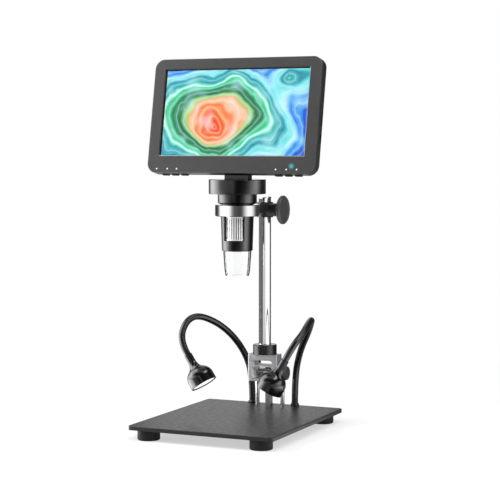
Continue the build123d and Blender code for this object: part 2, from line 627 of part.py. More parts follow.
def pinion_outline():
    """Involute pinion with a tooth pointing at the rack (+y)."""
    pressure = math.radians(PRESSURE_ANGLE)
    base_radius = PITCH_RADIUS * math.cos(pressure)
    tip_radius = PITCH_RADIUS + GEAR_MODULE
    root_radius = PITCH_RADIUS - GEAR_MODULE * (RACK_ADDENDUM + TIP_CLEARANCE)
    half_tooth = (math.pi * GEAR_MODULE - GEAR_BACKLASH) / 4 / PITCH_RADIUS
    half_base = half_tooth + involute_angle(PITCH_RADIUS, base_radius)
    flank = [(root_radius, half_base)]
    for step in range(FLANK_STEPS + 1):
        radius = base_radius + (tip_radius - base_radius) * step / FLANK_STEPS
        flank.append((radius, half_base - involute_angle(radius, base_radius)))
    points = []
    for tooth in range(PINION_TEETH):
        middle = math.pi / 2 + 2 * math.pi * tooth / PINION_TEETH
        for radius, angle in flank:
            points.append((radius * math.cos(middle - angle), radius * math.sin(middle - angle)))
        for radius, angle in reversed(flank):
            points.append((radius * math.cos(middle + angle), radius * math.sin(middle + angle)))
    return points


def pinion():
    """The pinion pressed on its shaft, turning inside the bracket's window."""
    outline = [(0, y, z) for z, y in pinion_outline()]
    gear = extrude(make_face(Polyline(*outline, close=True)), PINION_LENGTH / 2, dir=(1, 0, 0), both=True)
    gear = Pos(0, PINION_Y, PINION_HEIGHT) * gear
    return gear - crosswise(SHAFT_DIAMETER / 2 + PRESS_GAP, -PINION_LENGTH, PINION_LENGTH,
                            PINION_Y, PINION_HEIGHT)


def rack_bar():
    """Upright bar with teeth towards the front; a gap faces the pinion's tooth at rest."""
    pitch = math.pi * GEAR_MODULE
    slope = math.tan(math.radians(PRESSURE_ANGLE))
    root = RACK_PITCH_Y + GEAR_MODULE * (1 + TIP_CLEARANCE)
    half_gap = (pitch + GEAR_BACKLASH) / 4
    bar = block((-RACK_WIDTH / 2, RACK_WIDTH / 2), (RACK_TIP_Y, RACK_BACK_Y), (-RACK_SEAT, RACK_TOP))
    wide = half_gap + (RACK_PITCH_Y - RACK_TIP_Y) * slope
    narrow = half_gap - (root - RACK_PITCH_Y) * slope
    gap = Polyline((0, RACK_TIP_Y, -wide), (0, RACK_TIP_Y, wide), (0, root, narrow), (0, root, -narrow),
                   close=True)
    gap_solid = extrude(make_face(gap), RACK_WIDTH / 2 + CUT_PAST, dir=(1, 0, 0), both=True)
    first = math.ceil((RACK_TEETH_BOTTOM - PINION_HEIGHT) / pitch)
    last = math.floor((RACK_TOP - PINION_HEIGHT) / pitch)
    bar -= [Pos(0, 0, PINION_HEIGHT + pitch * count) * gap_solid for count in range(first, last + 1)]
    return bar - upright(RACK_SCREW_RADIUS + PRESS_GAP, -PLATE_THICKNESS, RACK_SCREW_BITE + FREE_GAP,
                         0, RACK_SCREW_Y)


def pinion_shaft():
    right_end = LUG_OUTSIDE + FOCUS_KNOB_GAP + FOCUS_KNOB_THICKNESS - FOCUS_KNOB_FACE
    return crosswise(SHAFT_DIAMETER / 2, -LUG_OUTSIDE, right_end, PINION_Y, PINION_HEIGHT)


def focus_knob():
    """Fluted knob on the right-hand end of the pinion shaft."""
    radius = FOCUS_KNOB_DIAMETER / 2
    knob = Cylinder(radius, FOCUS_KNOB_THICKNESS, align=LOW_ALIGN)
    knob = chamfer(knob.edges().filter_by(GeomType.CIRCLE), FOCUS_KNOB_CHAMFER)
    knob -= ring_of(Cylinder(FOCUS_KNOB_FLUTE_RADIUS, FOCUS_KNOB_THICKNESS * 3), FOCUS_KNOB_FLUTES, radius)
    bore_end = FOCUS_KNOB_THICKNESS - FOCUS_KNOB_FACE + SEAT_GAP
    knob -= upright(SHAFT_DIAMETER / 2 + PRESS_GAP, -CUT_PAST, bore_end)
    return Pos(LUG_OUTSIDE + FOCUS_KNOB_GAP, PINION_Y, PINION_HEIGHT) * Rot(0, 90, 0) * knob


# ---------------------------------------------------------------- focus carriage and column

def focus_bracket():
    """Cast bracket: a slotted, windowed front with two guide lugs behind."""
    front = extrude(RectangleRounded(BRACKET_WIDTH, BRACKET_DEPTH, BRACKET_CORNER_RADIUS), BRACKET_HEIGHT)
    bracket = Pos(0, REACH, BRACKET_BOTTOM) * front
    lugs = block((-LUG_OUTSIDE, LUG_OUTSIDE), (BRACKET_BACK_Y - LUG_ROOT, LUG_BACK),
                 (BRACKET_BOTTOM, BRACKET_BOTTOM + LUG_HEIGHT))
    lugs = fillet(lugs.edges().filter_by(Axis.Z).sort_by(Axis.Y)[-2:], LUG_WALL)
    rack_way = RACK_WIDTH / 2 + RACK_SIDE_GAP
    lugs -= block((-rack_way, rack_way), (BRACKET_BACK_Y, LUG_BACK + CUT_PAST), (0, BRACKET_TOP))
    bracket += lugs
    depth = (BRACKET_FRONT_Y - CUT_PAST, BRACKET_BACK_Y + CUT_PAST)
    bracket -= slab(SLOT_WIDTH, SLOT_BOTTOM, SLOT_BOTTOM + SLOT_HEIGHT, SLOT_CORNER_RADIUS, *depth)
    bracket -= slab(WINDOW_WIDTH, WINDOW_BOTTOM, WINDOW_BOTTOM + WINDOW_HEIGHT, WINDOW_CORNER_RADIUS, *depth)
    bracket -= block((-rack_way, rack_way), (BRACKET_BACK_Y - RACK_GROOVE_DEPTH, BRACKET_BACK_Y + CUT_PAST),
                     (BRACKET_BOTTOM - CUT_PAST, WINDOW_BOTTOM + CUT_PAST))
    for x, y in ROD_PLACES:
        bracket -= upright(BUSH_RADIUS + PRESS_GAP, 0, BRACKET_TOP, x, y)
    bracket -= crosswise(SHAFT_DIAMETER / 2 + RUN_GAP, -BRACKET_WIDTH, BRACKET_WIDTH, PINION_Y, PINION_HEIGHT)
    return bracket - upright(COLUMN_RADIUS + PRESS_GAP, COLUMN_BOTTOM, BRACKET_TOP, 0, REACH)


def guide_bushes():
    bush = Cylinder(BUSH_RADIUS, LUG_HEIGHT, align=LOW_ALIGN)
    bush -= Cylinder(ROD_RADIUS + RUN_GAP, LUG_HEIGHT * 3)
    return [Pos(x, y, BRACKET_BOTTOM) * bush for x, y in ROD_PLACES]


def column():
    tube = upright(COLUMN_RADIUS, COLUMN_BOTTOM, COLUMN_TOP, 0, REACH)
    return tube - upright(COLUMN_RADIUS - COLUMN_WALL, COLUMN_BOTTOM + COLUMN_FOOT, COLUMN_TOP, 0, REACH)


def column_nut():
    """Round nut that locks the column's foot on the bracket."""
    top = BRACKET_TOP + COLUMN_NUT_HEIGHT
    radius = COLUMN_NUT_DIAMETER / 2
    bore = COLUMN_RADIUS + PRESS_GAP
    nut = turned([(bore, BRACKET_TOP), (radius, BRACKET_TOP), (radius, top - COLUMN_NUT_CHAMFER),
                  (radius - COLUMN_NUT_CHAMFER, top), (bore, top)])
    return Pos(0, REACH, 0) * nut


def column_cap():
    """Plug in the top of the column tube."""
    plug = COLUMN_RADIUS - COLUMN_WALL - PRESS_GAP
    low = COLUMN_TOP - COLUMN_CAP_PLUG
    top = COLUMN_TOP + COLUMN_CAP_HEIGHT
    cap = turned([(0, low), (plug, low), (plug, COLUMN_TOP), (COLUMN_RADIUS, COLUMN_TOP),
                  (COLUMN_RADIUS, top - COLUMN_CAP_CHAMFER), (COLUMN_RADIUS - COLUMN_CAP_CHAMFER, top),
                  (0, top)])
    return Pos(0, REACH, 0) * cap


# ---------------------------------------------------------------- arm and clamp

def clamp_liner():
    """Thin split bush that runs on the column inside the arm's sleeve."""
    liner = upright(LINER_RADIUS, SLEEVE_BOTTOM + LINER_RECESS, SLEEVE_TOP - LINER_RECESS, 0, REACH)
    liner -= upright(COLUMN_RADIUS + RUN_GAP, SLEEVE_BOTTOM, SLEEVE_TOP, 0, REACH)
    return liner - block((-LINER_SLIT / 2, LINER_SLIT / 2), (REACH, REACH + LINER_RADIUS + CUT_PAST),
                         (SLEEVE_BOTTOM, SLEEVE_TOP))


def support_arm():
    """Sleeve on the column, a clamp boss to the right and the arm forward to the ring."""
    sleeve = upright(SLEEVE_RADIUS, SLEEVE_BOTTOM, SLEEVE_TOP, 0, REACH)
    boss = block((0, BOSS_REACH), (REACH - BOSS_WIDTH / 2, REACH + BOSS_WIDTH / 2),
                 (LOCK_HEIGHT - BOSS_HEIGHT / 2, LOCK_HEIGHT + BOSS_HEIGHT / 2))
    boss = fillet(boss.edges().filter_by(Axis.X), BOSS_EDGE_RADIUS)
    bar = block((-ARM_WIDTH / 2, ARM_WIDTH / 2), (0, REACH),
                (ARM_LEVEL - ARM_HEIGHT / 2, ARM_LEVEL + ARM_HEIGHT / 2))
    bar = fillet(bar.edges().filter_by(Axis.Y), ARM_EDGE_RADIUS)
    bar -= upright(RING_DIAMETER / 2 + PRESS_GAP, 0, COLUMN_TOP)
    arm = sleeve + boss + bar
    arm -= upright(SLEEVE_BORE, SLEEVE_BOTTOM - CUT_PAST, SLEEVE_TOP + CUT_PAST, 0, REACH)
    arm -= crosswise(LOCK_SCREW_DIAMETER / 2 + RUN_GAP, 0, BOSS_REACH + CUT_PAST, REACH, LOCK_HEIGHT)
    return arm - lengthwise(ARM_SCREW_DIAMETER / 2 + PRESS_GAP, 0, ARM_SCREW_TIP + FREE_GAP, 0, ARM_LEVEL)


def arm_ring():
    """Polished ring that holds the camera head, screwed to the arm from its inside."""
    outer = RING_DIAMETER / 2
    ring = turned([(RING_BORE, RING_BOTTOM), (outer - RING_CHAMFER, RING_BOTTOM),
                   (outer, RING_BOTTOM + RING_CHAMFER), (outer, RING_TOP - RING_CHAMFER),
                   (outer - RING_CHAMFER, RING_TOP), (RING_BORE, RING_TOP)])
    ring -= lengthwise(ARM_SCREW_DIAMETER / 2 + PRESS_GAP, 0, outer + CUT_PAST, 0, ARM_LEVEL)
    return ring - lengthwise(ARM_SCREW_HEAD_DIAMETER / 2 + PRESS_GAP, 0, ARM_SCREW_SEAT, 0, ARM_LEVEL)


def arm_screw():
    screw = lengthwise(ARM_SCREW_HEAD_DIAMETER / 2, ARM_SCREW_FACE, ARM_SCREW_SEAT, 0, ARM_LEVEL)
    return screw + lengthwise(ARM_SCREW_DIAMETER / 2, ARM_SCREW_SEAT, ARM_SCREW_TIP, 0, ARM_LEVEL)


def lock_screw():
    tip = BOSS_REACH + LOCK_KNOB_GAP + LOCK_HUB_LENGTH + LOCK_KNOB_THICKNESS - LOCK_KNOB_SKIN - SEAT_GAP
    return crosswise(LOCK_SCREW_DIAMETER / 2, SLEEVE_BORE + SEAT_GAP, tip, REACH, LOCK_HEIGHT)


def lock_knob():
    """Large round knob with a conical hub and a sunk face."""
    hub = LOCK_HUB_LENGTH
    hub_radius = LOCK_HUB_DIAMETER / 2
    rim = LOCK_KNOB_DIAMETER / 2
    face = hub + LOCK_KNOB_THICKNESS
    sunk = face - LOCK_KNOB_FACE_DEPTH
    bore = LOCK_SCREW_DIAMETER / 2 + PRESS_GAP
    bevel = LOCK_KNOB_CHAMFER
    inner = rim - LOCK_KNOB_RIM
    knob = turned([(bore, 0), (hub_radius - LOCK_HUB_TAPER, 0), (hub_radius, hub), (rim - bevel, hub),
                   (rim, hub + bevel), (rim, face - bevel), (rim - bevel, face), (inner, face),
                   (inner - LOCK_KNOB_FACE_DEPTH, sunk), (0, sunk), (0, face - LOCK_KNOB_SKIN),
                   (bore, face - LOCK_KNOB_SKIN)])
    return Pos(BOSS_REACH + LOCK_KNOB_GAP, REACH, LOCK_HEIGHT) * Rot(0, 90, 0) * knob


# ---------------------------------------------------------------- camera head

def barrel_housing():
    """Tapered shell with a window on the focus wheel, and the tube that the ring holds."""
    low = BARREL_BOTTOM_DIAMETER / 2
    high = BARREL_TOP_DIAMETER / 2
    lip = CONE_RADIUS + PRESS_GAP
    bore = NECK_TUBE_BORE / 2
    housing = turned([(lip, BARREL_BOTTOM), (low, BARREL_BOTTOM), (high, BARREL_SHOULDER),
                      (NECK_TUBE_RADIUS, BARREL_SHOULDER), (NECK_TUBE_RADIUS, NECK_TUBE_TOP),
                      (bore, NECK_TUBE_TOP), (bore, BARREL_SHOULDER), (WHEEL_BAY_RADIUS, BARREL_SHOULDER),
                      (WHEEL_BAY_RADIUS, WHEEL_BOTTOM), (BARREL_BORE, WHEEL_BOTTOM), (BARREL_BORE, LIP_TOP),
                      (lip, LIP_TOP)])
    foot_edges = housing.faces().sort_by(Axis.Z)[0].edges().sort_by(SortBy.RADIUS)[-1:]
    housing = fillet(foot_edges, min(BARREL_EDGE_RADIUS, (low - lip) * 0.9))
    opening = Cylinder(high + CUT_PAST, WHEEL_WINDOW_HEIGHT, arc_size=WINDOW_END_ANGLE - WINDOW_START_ANGLE,
                       align=(Align.NONE, Align.NONE, Align.MIN))
    return housing - Rot(0, 0, WINDOW_START_ANGLE - 90) * Pos(0, 0, WHEEL_WINDOW_BOTTOM) * opening


def focus_wheel():
    """Ribbed wheel seen through the window; it turns on the lens tube."""
    outer = WHEEL_BAY_RADIUS - FREE_GAP / 2
    wheel = upright(outer, WHEEL_BOTTOM, WHEEL_TOP) - upright(WHEEL_BORE, 0, COLUMN_TOP)
    width = math.pi * 2 * outer / WHEEL_RIBS * WHEEL_RIB_SHARE
    groove = Box(WHEEL_RIB_DEPTH * 2, width, WHEEL_TOP - WHEEL_BOTTOM - 2 * WHEEL_RIM)
    middle = (WHEEL_TOP + WHEEL_BOTTOM) / 2
    return wheel - [Pos(0, 0, middle) * cut for cut in ring_of(groove, WHEEL_RIBS, outer)]


def lens_guide():
    """Ring under the wheel that carries it and guides the lens tube."""
    guide = upright(BARREL_BORE - PRESS_GAP, LED_BOARD_TOP + SEAT_GAP, WHEEL_BOTTOM - SEAT_GAP)
    return guide - upright(WHEEL_BORE, LED_BOARD_BOTTOM, WHEEL_TOP)


def lens_barrel():
    """Lens tube, moved along the optical axis by the wheel's thread."""
    tube = upright(LENS_TUBE_RADIUS, LENS_TUBE_BOTTOM, LENS_TUBE_TOP)
    seat = LENS_TUBE_BOTTOM + LENS_SEAT
    tube -= upright(OBJECTIVE_DIAMETER / 2 + PRESS_GAP, seat, LENS_TUBE_TOP)
    return tube - upright(OBJECTIVE_DIAMETER / 2 - LENS_SEAT, 0, seat)


def objective_lens():
    """Two glass elements in the lens tube, domed upwards."""
    radius = OBJECTIVE_DIAMETER / 2
    low = LENS_TUBE_BOTTOM + LENS_SEAT + SEAT_GAP
    top = low + OBJECTIVE_THICKNESS
    edge = low + OBJECTIVE_EDGE
    sides = Polyline((0, 0, top), (0, 0, low), (radius, 0, low), (radius, 0, edge))
    element = revolve(make_face(dome_arc(radius, edge, top) + sides), Axis.Z)
    return [element, Pos(0, 0, OBJECTIVE_THICKNESS + SEAT_GAP) * element]


def clear_cone():
    """Clear nose: a bullet-shaped shell, open at the end, held by its flange."""
    end = CONE_END_DIAMETER / 2
    inner_end = end - CONE_WALL
    inner_top = CONE_RADIUS - CONE_WALL
    shoulder = BARREL_BOTTOM - CONE_SHOULDER
    slope = CONE_END_SLOPE
    outside = Spline((CONE_RADIUS, 0, BARREL_BOTTOM), (CONE_RADIUS - CONE_SHOULDER_INSET, 0, shoulder),
                     (end, 0, CONE_BOTTOM), tangents=[(0, 0, -1), (-slope, 0, -1)])
    inside = Spline((inner_end, 0, CONE_BOTTOM), (inner_top - CONE_SHOULDER_INSET, 0, shoulder),
                    (inner_top, 0, BARREL_BOTTOM), tangents=[(slope, 0, 1), (0, 0, 1)])
    flange = BARREL_BORE - PRESS_GAP
    flange_low = LIP_TOP + PRESS_GAP
    outline = outside + Line((end, 0, CONE_BOTTOM), (inner_end, 0, CONE_BOTTOM)) + inside
    outline += Polyline((inner_top, 0, BARREL_BOTTOM), (inner_top, 0, FLANGE_TOP), (flange, 0, FLANGE_TOP),
                        (flange, 0, flange_low), (CONE_RADIUS, 0, flange_low),
                        (CONE_RADIUS, 0, BARREL_BOTTOM))
    return revolve(make_face(outline), Axis.Z)


def led_board():
    """Ring-shaped board above the cone, open in the middle for the lens."""
    board = upright(BARREL_BORE - PRESS_GAP, LED_BOARD_BOTTOM + SEAT_GAP, LED_BOARD_TOP)
    return board - upright(OBJECTIVE_DIAMETER / 2, 0, COLUMN_TOP)


def cone_leds():
    """Small lamps under the ring board."""
    radius = CONE_LED_DIAMETER / 2
    top = LED_BOARD_BOTTOM + SEAT_GAP
    lamp = Cylinder(radius, CONE_LED_HEIGHT - radius, align=(Align.CENTER, Align.CENTER, Align.MAX))
    lamp += Pos(0, 0, radius - CONE_LED_HEIGHT) * Sphere(radius)
    return [Pos(0, 0, top) * placed for placed in ring_of(lamp, CONE_LED_COUNT, CONE_LED_CIRCLE / 2)]


def sensor_board():
    """Image sensor on its round board, in the bore of the neck tube."""
    low = SENSOR_BOARD_BOTTOM
    half = SENSOR_CHIP_SIZE / 2
    board = upright(NECK_TUBE_BORE / 2 - PRESS_GAP, low, low + SENSOR_BOARD_THICKNESS)
    return board + block((-half, half), (-half, half), (low - SENSOR_CHIP_HEIGHT, low))


def neck_ring():
    """Ring screwed on the neck tube; its spigot carries the collar."""
    radius = NECK_RING_DIAMETER / 2
    bore = NECK_TUBE_RADIUS + PRESS_GAP
    land = RING_TOP + FREE_GAP
    step = NECK_TUBE_TOP + SEAT_GAP
    top = COLLAR_BOTTOM + SPIGOT_HEIGHT
    return turned([(bore, land), (bore + NECK_RING_LAND, land), (bore + NECK_RING_LAND, NECK_RING_BOTTOM),
                   (radius - NECK_RING_CHAMFER, NECK_RING_BOTTOM),
                   (radius, NECK_RING_BOTTOM + NECK_RING_CHAMFER), (radius, NECK_RING_TOP),
                   (SPIGOT_RADIUS, NECK_RING_TOP), (SPIGOT_RADIUS, top),
                   (NECK_TUBE_BORE / 2, top), (NECK_TUBE_BORE / 2, step), (bore, step)])


def collar():
    """Round box between the neck ring and the neck block, with a floor and a lid."""
    spigot = SPIGOT_RADIUS + PRESS_GAP
    inner = COLLAR_RADIUS - COLLAR_WALL
    floor = COLLAR_BOTTOM + COLLAR_WALL
    lid = COLLAR_TOP - COLLAR_WALL
    cup = turned([(spigot, COLLAR_BOTTOM), (COLLAR_RADIUS, COLLAR_BOTTOM), (COLLAR_RADIUS, COLLAR_TOP),
                  (0, COLLAR_TOP), (0, lid), (inner, lid), (inner, floor), (spigot, floor)])
    rims = cup.edges().filter_by(GeomType.CIRCLE).group_by(SortBy.RADIUS)[-1]
    return fillet(rims, COLLAR_EDGE_RADIUS)


def neck_block():
    """Block on the collar with the eye of the screen's hinge."""
    y, z = HINGE_POINT.Y, HINGE_POINT.Z
    half = NECK_BLOCK_WIDTH / 2
    eye_half = EAR_SPACING / 2 - FREE_GAP
    base = block((-half, half), (NECK_BLOCK_FRONT, NECK_BLOCK_BACK), (COLLAR_TOP, NECK_BLOCK_TOP))
    base = fillet(base.edges().filter_by(Axis.Z), NECK_BLOCK_EDGE_RADIUS)
    web_front = max(y - EYE_RADIUS, NECK_BLOCK_FRONT)
    web = block((-eye_half, eye_half), (web_front, NECK_BLOCK_BACK), (COLLAR_TOP, z))
    eye = crosswise(EYE_RADIUS, -eye_half, eye_half, y, z)
    return base + web + eye - crosswise(HINGE_PIN_DIAMETER / 2 + PRESS_GAP, -half, half, y, z)


def hinge_pin():
    half = EAR_SPACING / 2 + EAR_THICKNESS
    return crosswise(HINGE_PIN_DIAMETER / 2, -half, half, HINGE_POINT.Y, HINGE_POINT.Z)


# ---------------------------------------------------------------- screen

def side_cuts():
    """Mouths of the card and data sockets in the right-hand side of the case."""
    return [block((CASE_WIDTH / 2 - CASE_WALL - CUT_PAST, CASE_WIDTH / 2 + CUT_PAST),
                  (SOCKET_DEPTH - height / 2 - FREE_GAP, SOCKET_DEPTH + height / 2 + FREE_GAP),
                  (z - width / 2 - FREE_GAP, z + width / 2 + FREE_GAP)) for z, width, height in SIDE_SOCKETS]


def front_bezel():
    """Front half of the case: frame round the picture, side walls and screw bosses."""
    shell = slab(CASE_WIDTH, CASE_BOTTOM, CASE_TOP, CASE_CORNER_RADIUS, BEZEL_FRONT, PARTING_DEPTH)
    shell = fillet(shell.faces().sort_by(Axis.Y)[0].edges(), BEZEL_EDGE_RADIUS)
    shell -= slab(CASE_WIDTH - 2 * CASE_WALL, CASE_BOTTOM + CASE_WALL, CASE_TOP - CASE_WALL,
                  CASE_CORNER_RADIUS - CASE_WALL, BEZEL_LIP_BACK, PARTING_DEPTH + CUT_PAST)
    shell += [lengthwise(CASE_BOSS_RADIUS, BEZEL_LIP_BACK - PRESS_GAP, PARTING_DEPTH, x, z)
              for x, z in SCREW_PLACES]
    shell -= block((-PICTURE_WIDTH / 2, PICTURE_WIDTH / 2), (BEZEL_FRONT - CUT_PAST, PANEL_FRONT),
                   (-PICTURE_HEIGHT / 2, PICTURE_HEIGHT / 2))
    shell -= [lengthwise(CASE_SCREW_RADIUS + PRESS_GAP, CASE_SCREW_TIP - FREE_GAP, PARTING_DEPTH, x, z)
              for x, z in SCREW_PLACES]
    shell -= lengthwise(LED_DIAMETER / 2 + PRESS_GAP, BEZEL_FRONT - CUT_PAST, PANEL_FRONT, LED_X, LED_Z)
    shell -= side_cuts()
    half = (BUTTON_WIDTH + FREE_GAP) / 2
    deep = (BUTTON_DEPTH + FREE_GAP) / 2
    shell -= [block((x - half, x + half), (BUTTON_MIDDLE_DEPTH - deep, BUTTON_MIDDLE_DEPTH + deep),
                    (CASE_BOTTOM - CUT_PAST, CASE_BOTTOM + CASE_WALL + CUT_PAST)) for x in BUTTON_CENTRES]
    return SCREEN_PLACE * shell


def back_form(inset):
    """The rear cover's bulk: a straight skirt, then a taper to the flat back."""
    width = CASE_WIDTH - 2 * inset
    height = CASE_TOP - CASE_BOTTOM - 2 * inset
    back_height = BACK_TOP - BACK_BOTTOM - 2 * inset
    skirt = slab(width, CASE_BOTTOM + inset, CASE_TOP - inset, CASE_CORNER_RADIUS - inset,
                 PARTING_DEPTH, CASE_SIDE_DEPTH)
    near = RectangleRounded(width, height, CASE_CORNER_RADIUS - inset)
    far = RectangleRounded(BACK_WIDTH - 2 * inset, back_height, BACK_CORNER_RADIUS - inset)
    near = Pos(0, CASE_SIDE_DEPTH, (CASE_TOP + CASE_BOTTOM) / 2) * Rot(-90, 0, 0) * near
    far = Pos(0, CASE_BACK_DEPTH - inset, (BACK_TOP + BACK_BOTTOM) / 2) * Rot(-90, 0, 0) * far
    return skirt + loft([near, far])


def hinge_ears():
    """Two round-ended ears that stand out of the cover's back on the hinge axis."""
    ears = []
    for side in (-1, 1):
        near, far = sorted((side * EAR_SPACING / 2, side * (EAR_SPACING / 2 + EAR_THICKNESS)))
        ear = crosswise(EYE_RADIUS, near, far, HINGE_DEPTH, HINGE_Z)
        ear += block((near, far), (CASE_SIDE_DEPTH, HINGE_DEPTH),
                     (HINGE_Z - EYE_RADIUS, HINGE_Z + EYE_RADIUS))
        ears.append(ear - back_form(CASE_WALL))
    return ears


def rear_cover():
    """Rear half of the case with hinge ears, screw seats, board posts and vents."""
    outside = back_form(0)
    cover = outside - back_form(CASE_WALL)
    cover += [lengthwise(POST_RADIUS, BOARD_BACK + SEAT_GAP, CASE_BACK_DEPTH - CASE_WALL / 2,
                         side * POST_SPACING / 2, BOARD_TOP - drop)
              for side in (-1, 1) for drop in POST_DROPS]
    for x, z in SCREW_PLACES:
        cover += outside & lengthwise(CASE_BOSS_RADIUS, PARTING_DEPTH, CASE_BACK_DEPTH, x, z)
        cover -= lengthwise(CASE_SCREW_RADIUS + PRESS_GAP, 0, CASE_BACK_DEPTH, x, z)
        cover -= lengthwise(CASE_SCREW_HEAD_RADIUS + PRESS_GAP, CASE_SCREW_SEAT, CASE_BACK_DEPTH, x, z)
    cover += hinge_ears()
    cover -= crosswise(HINGE_PIN_DIAMETER / 2 + RUN_GAP, -CASE_WIDTH, CASE_WIDTH, HINGE_DEPTH, HINGE_Z)
    vent = slab(VENT_WIDTH, VENT_Z - VENT_LENGTH / 2, VENT_Z + VENT_LENGTH / 2, VENT_WIDTH * 0.45,
                INSIDE_BACK - CUT_PAST, CASE_BACK_DEPTH + CUT_PAST)
    cover -= [Pos((count - (VENT_COUNT - 1) / 2) * VENT_PITCH, 0, 0) * vent for count in range(VENT_COUNT)]
    cover -= side_cuts()
    return SCREEN_PLACE * cover


def cover_glass():
    half = PICTURE_HEIGHT / 2 + GLASS_MARGIN
    return SCREEN_PLACE * slab(PICTURE_WIDTH + 2 * GLASS_MARGIN, -half, half, GLASS_CORNER_RADIUS,
                               GLASS_FRONT, GLASS_FRONT + GLASS_THICKNESS)


def lcd_panel():
    """Display module: a flat tray with the picture area in front."""
    low = -PICTURE_HEIGHT / 2 - PANEL_MARGIN_BOTTOM
    high = PICTURE_HEIGHT / 2 + PANEL_MARGIN_TOP
    return SCREEN_PLACE * slab(PICTURE_WIDTH + 2 * PANEL_MARGIN_SIDE, low, high, GLASS_CORNER_RADIUS,
                               PANEL_FRONT, PANEL_BACK)


def main_board():
    """Main circuit board with the processor and six side switches."""
    board = block((BOARD_LEFT, BOARD_RIGHT), (BOARD_FRONT, BOARD_BACK), (BOARD_BOTTOM, BOARD_TOP))
    chip_left = BOARD_LEFT + CHIP_LEFT
    chip_top = BOARD_TOP - CHIP_DROP
    board += block((chip_left, chip_left + CHIP_SIZE), (BOARD_FRONT - CHIP_HEIGHT, BOARD_FRONT),
                   (chip_top - CHIP_SIZE, chip_top))
    board += [block((x - SWITCH_WIDTH / 2, x + SWITCH_WIDTH / 2),
                    (BUTTON_MIDDLE_DEPTH - BUTTON_STEM_DEPTH / 2, BOARD_FRONT),
                    (SWITCH_BOTTOM, BOARD_BOTTOM + SWITCH_BITE)) for x in BUTTON_CENTRES]
    return SCREEN_PLACE * board


def battery():
    """Flat cell between the board and the back of the case."""
    cell = block((-BATTERY_WIDTH / 2, BATTERY_WIDTH / 2), (BOARD_BACK + SEAT_GAP, INSIDE_BACK - SEAT_GAP),
                 (BATTERY_BOTTOM, BATTERY_BOTTOM + BATTERY_HEIGHT))
    return SCREEN_PLACE * fillet(cell.edges().filter_by(Axis.Z), BATTERY_EDGE_RADIUS)


def status_led():
    lens = lengthwise(LED_DIAMETER / 2, BEZEL_FRONT - LED_PROUD, PANEL_FRONT - SEAT_GAP, LED_X, LED_Z)
    return SCREEN_PLACE * lens


def case_screws():
    """Cross-headed screws from the back of the case into the bezel's bosses."""
    head_end = CASE_SCREW_SEAT + CASE_SCREW_HEAD_HEIGHT
    long, short = CROSS_LENGTH / 2, CROSS_WIDTH / 2
    screw = lengthwise(CASE_SCREW_RADIUS, CASE_SCREW_TIP, CASE_SCREW_SEAT, 0, 0)
    screw += lengthwise(CASE_SCREW_HEAD_RADIUS, CASE_SCREW_SEAT, head_end, 0, 0)
    for half_x, half_z in ((long, short), (short, long)):
        screw -= block((-half_x, half_x), (head_end - CROSS_DEPTH, head_end + CUT_PAST), (-half_z, half_z))
    return [SCREEN_PLACE * Pos(x, 0, z) * screw for x, z in SCREW_PLACES]


def side_sockets():
    """Card socket and data socket on the board, open at the right-hand side."""
    sockets = []
    for z, width, height in SIDE_SOCKETS:
        low = SOCKET_DEPTH - height / 2
        half = width / 2
        shell = block((SOCKET_END - SOCKET_LENGTH, SOCKET_END), (low, BOARD_FRONT - SEAT_GAP),
                      (z - half, z + half))
        shell -= block((SOCKET_END - SOCKET_LENGTH + SOCKET_BACK, SOCKET_END + CUT_PAST),
                       (low + SOCKET_WALL, low + height - SOCKET_WALL),
                       (z - half + SOCKET_WALL, z + half - SOCKET_WALL))
        sockets.append(SCREEN_PLACE * shell)
    return sockets


def button(x):
    """Push button through the bottom edge of the case, with a flange and a stem inside."""
    y = BUTTON_MIDDLE_DEPTH
    half = BUTTON_WIDTH / 2
    deep = BUTTON_DEPTH / 2
    flange_half = half + BUTTON_FLANGE_SIDE
    flange_deep = deep + BUTTON_FLANGE_DEPTH
    flange_top = BUTTON_INSIDE + BUTTON_FLANGE
    cap = block((x - half, x + half), (y - deep, y + deep), (CASE_BOTTOM - BUTTON_PROUD, BUTTON_INSIDE))
    cap = fillet(cap.edges().filter_by(Axis.Y).sort_by(Axis.Z)[:2], BUTTON_EDGE_RADIUS)
    flange = block((x - flange_half, x + flange_half), (y - flange_deep, y + flange_deep),
                   (BUTTON_INSIDE, flange_top))
    stem = block((x - BUTTON_STEM_WIDTH / 2, x + BUTTON_STEM_WIDTH / 2),
                 (y - BUTTON_STEM_DEPTH / 2, y + BUTTON_STEM_DEPTH / 2),
                 (flange_top, flange_top + BUTTON_STEM_LENGTH))
    return SCREEN_PLACE * (cap + flange + stem)


# ---------------------------------------------------------------- lamps

def neck_route(x, bends):
    """A neck's points, from its seat in the plate to the lamp."""
    return [(x, NECK_Y, -NECK_SEAT)] + [(x + dx, NECK_Y + dy, dz) for dx, dy, dz in bends]


def bend_radii(points):
    """Largest arc that each corner's two runs allow: 0.45 of the shorter run."""
    radii = []
    for before, corner, after in zip(points, points[1:], points[2:]):
        first = Vector(*corner) - Vector(*before)
        second = Vector(*after) - Vector(*corner)
        half_turn = math.radians(first.get_angle(second)) / 2
        radii.append(0.45 * min(first.length, second.length) / math.tan(half_turn))
    return radii


def split_route(route):
    """The fixed and the bending part of a neck, each with its bend radii."""
    radii = bend_radii(route)
    cut = NECK_SPLIT_RUN + 1
    split = tuple((Vector(*route[cut - 1]) + Vector(*route[cut])) / 2)
    return (route[:cut] + [split], radii[:cut - 1]), ([split] + route[cut:], radii[cut - 1:])


def neck_tube(points, radii):
    """A tube along straight runs joined by tangent arcs."""
    path = FilletPolyline(*points, radius=radii)
    start = Plane(origin=path @ 0, z_dir=path % 0)
    return sweep(start * Circle(NECK_RADIUS), path)


def ball(point, radius):
    return Pos(*point) * Sphere(radius)


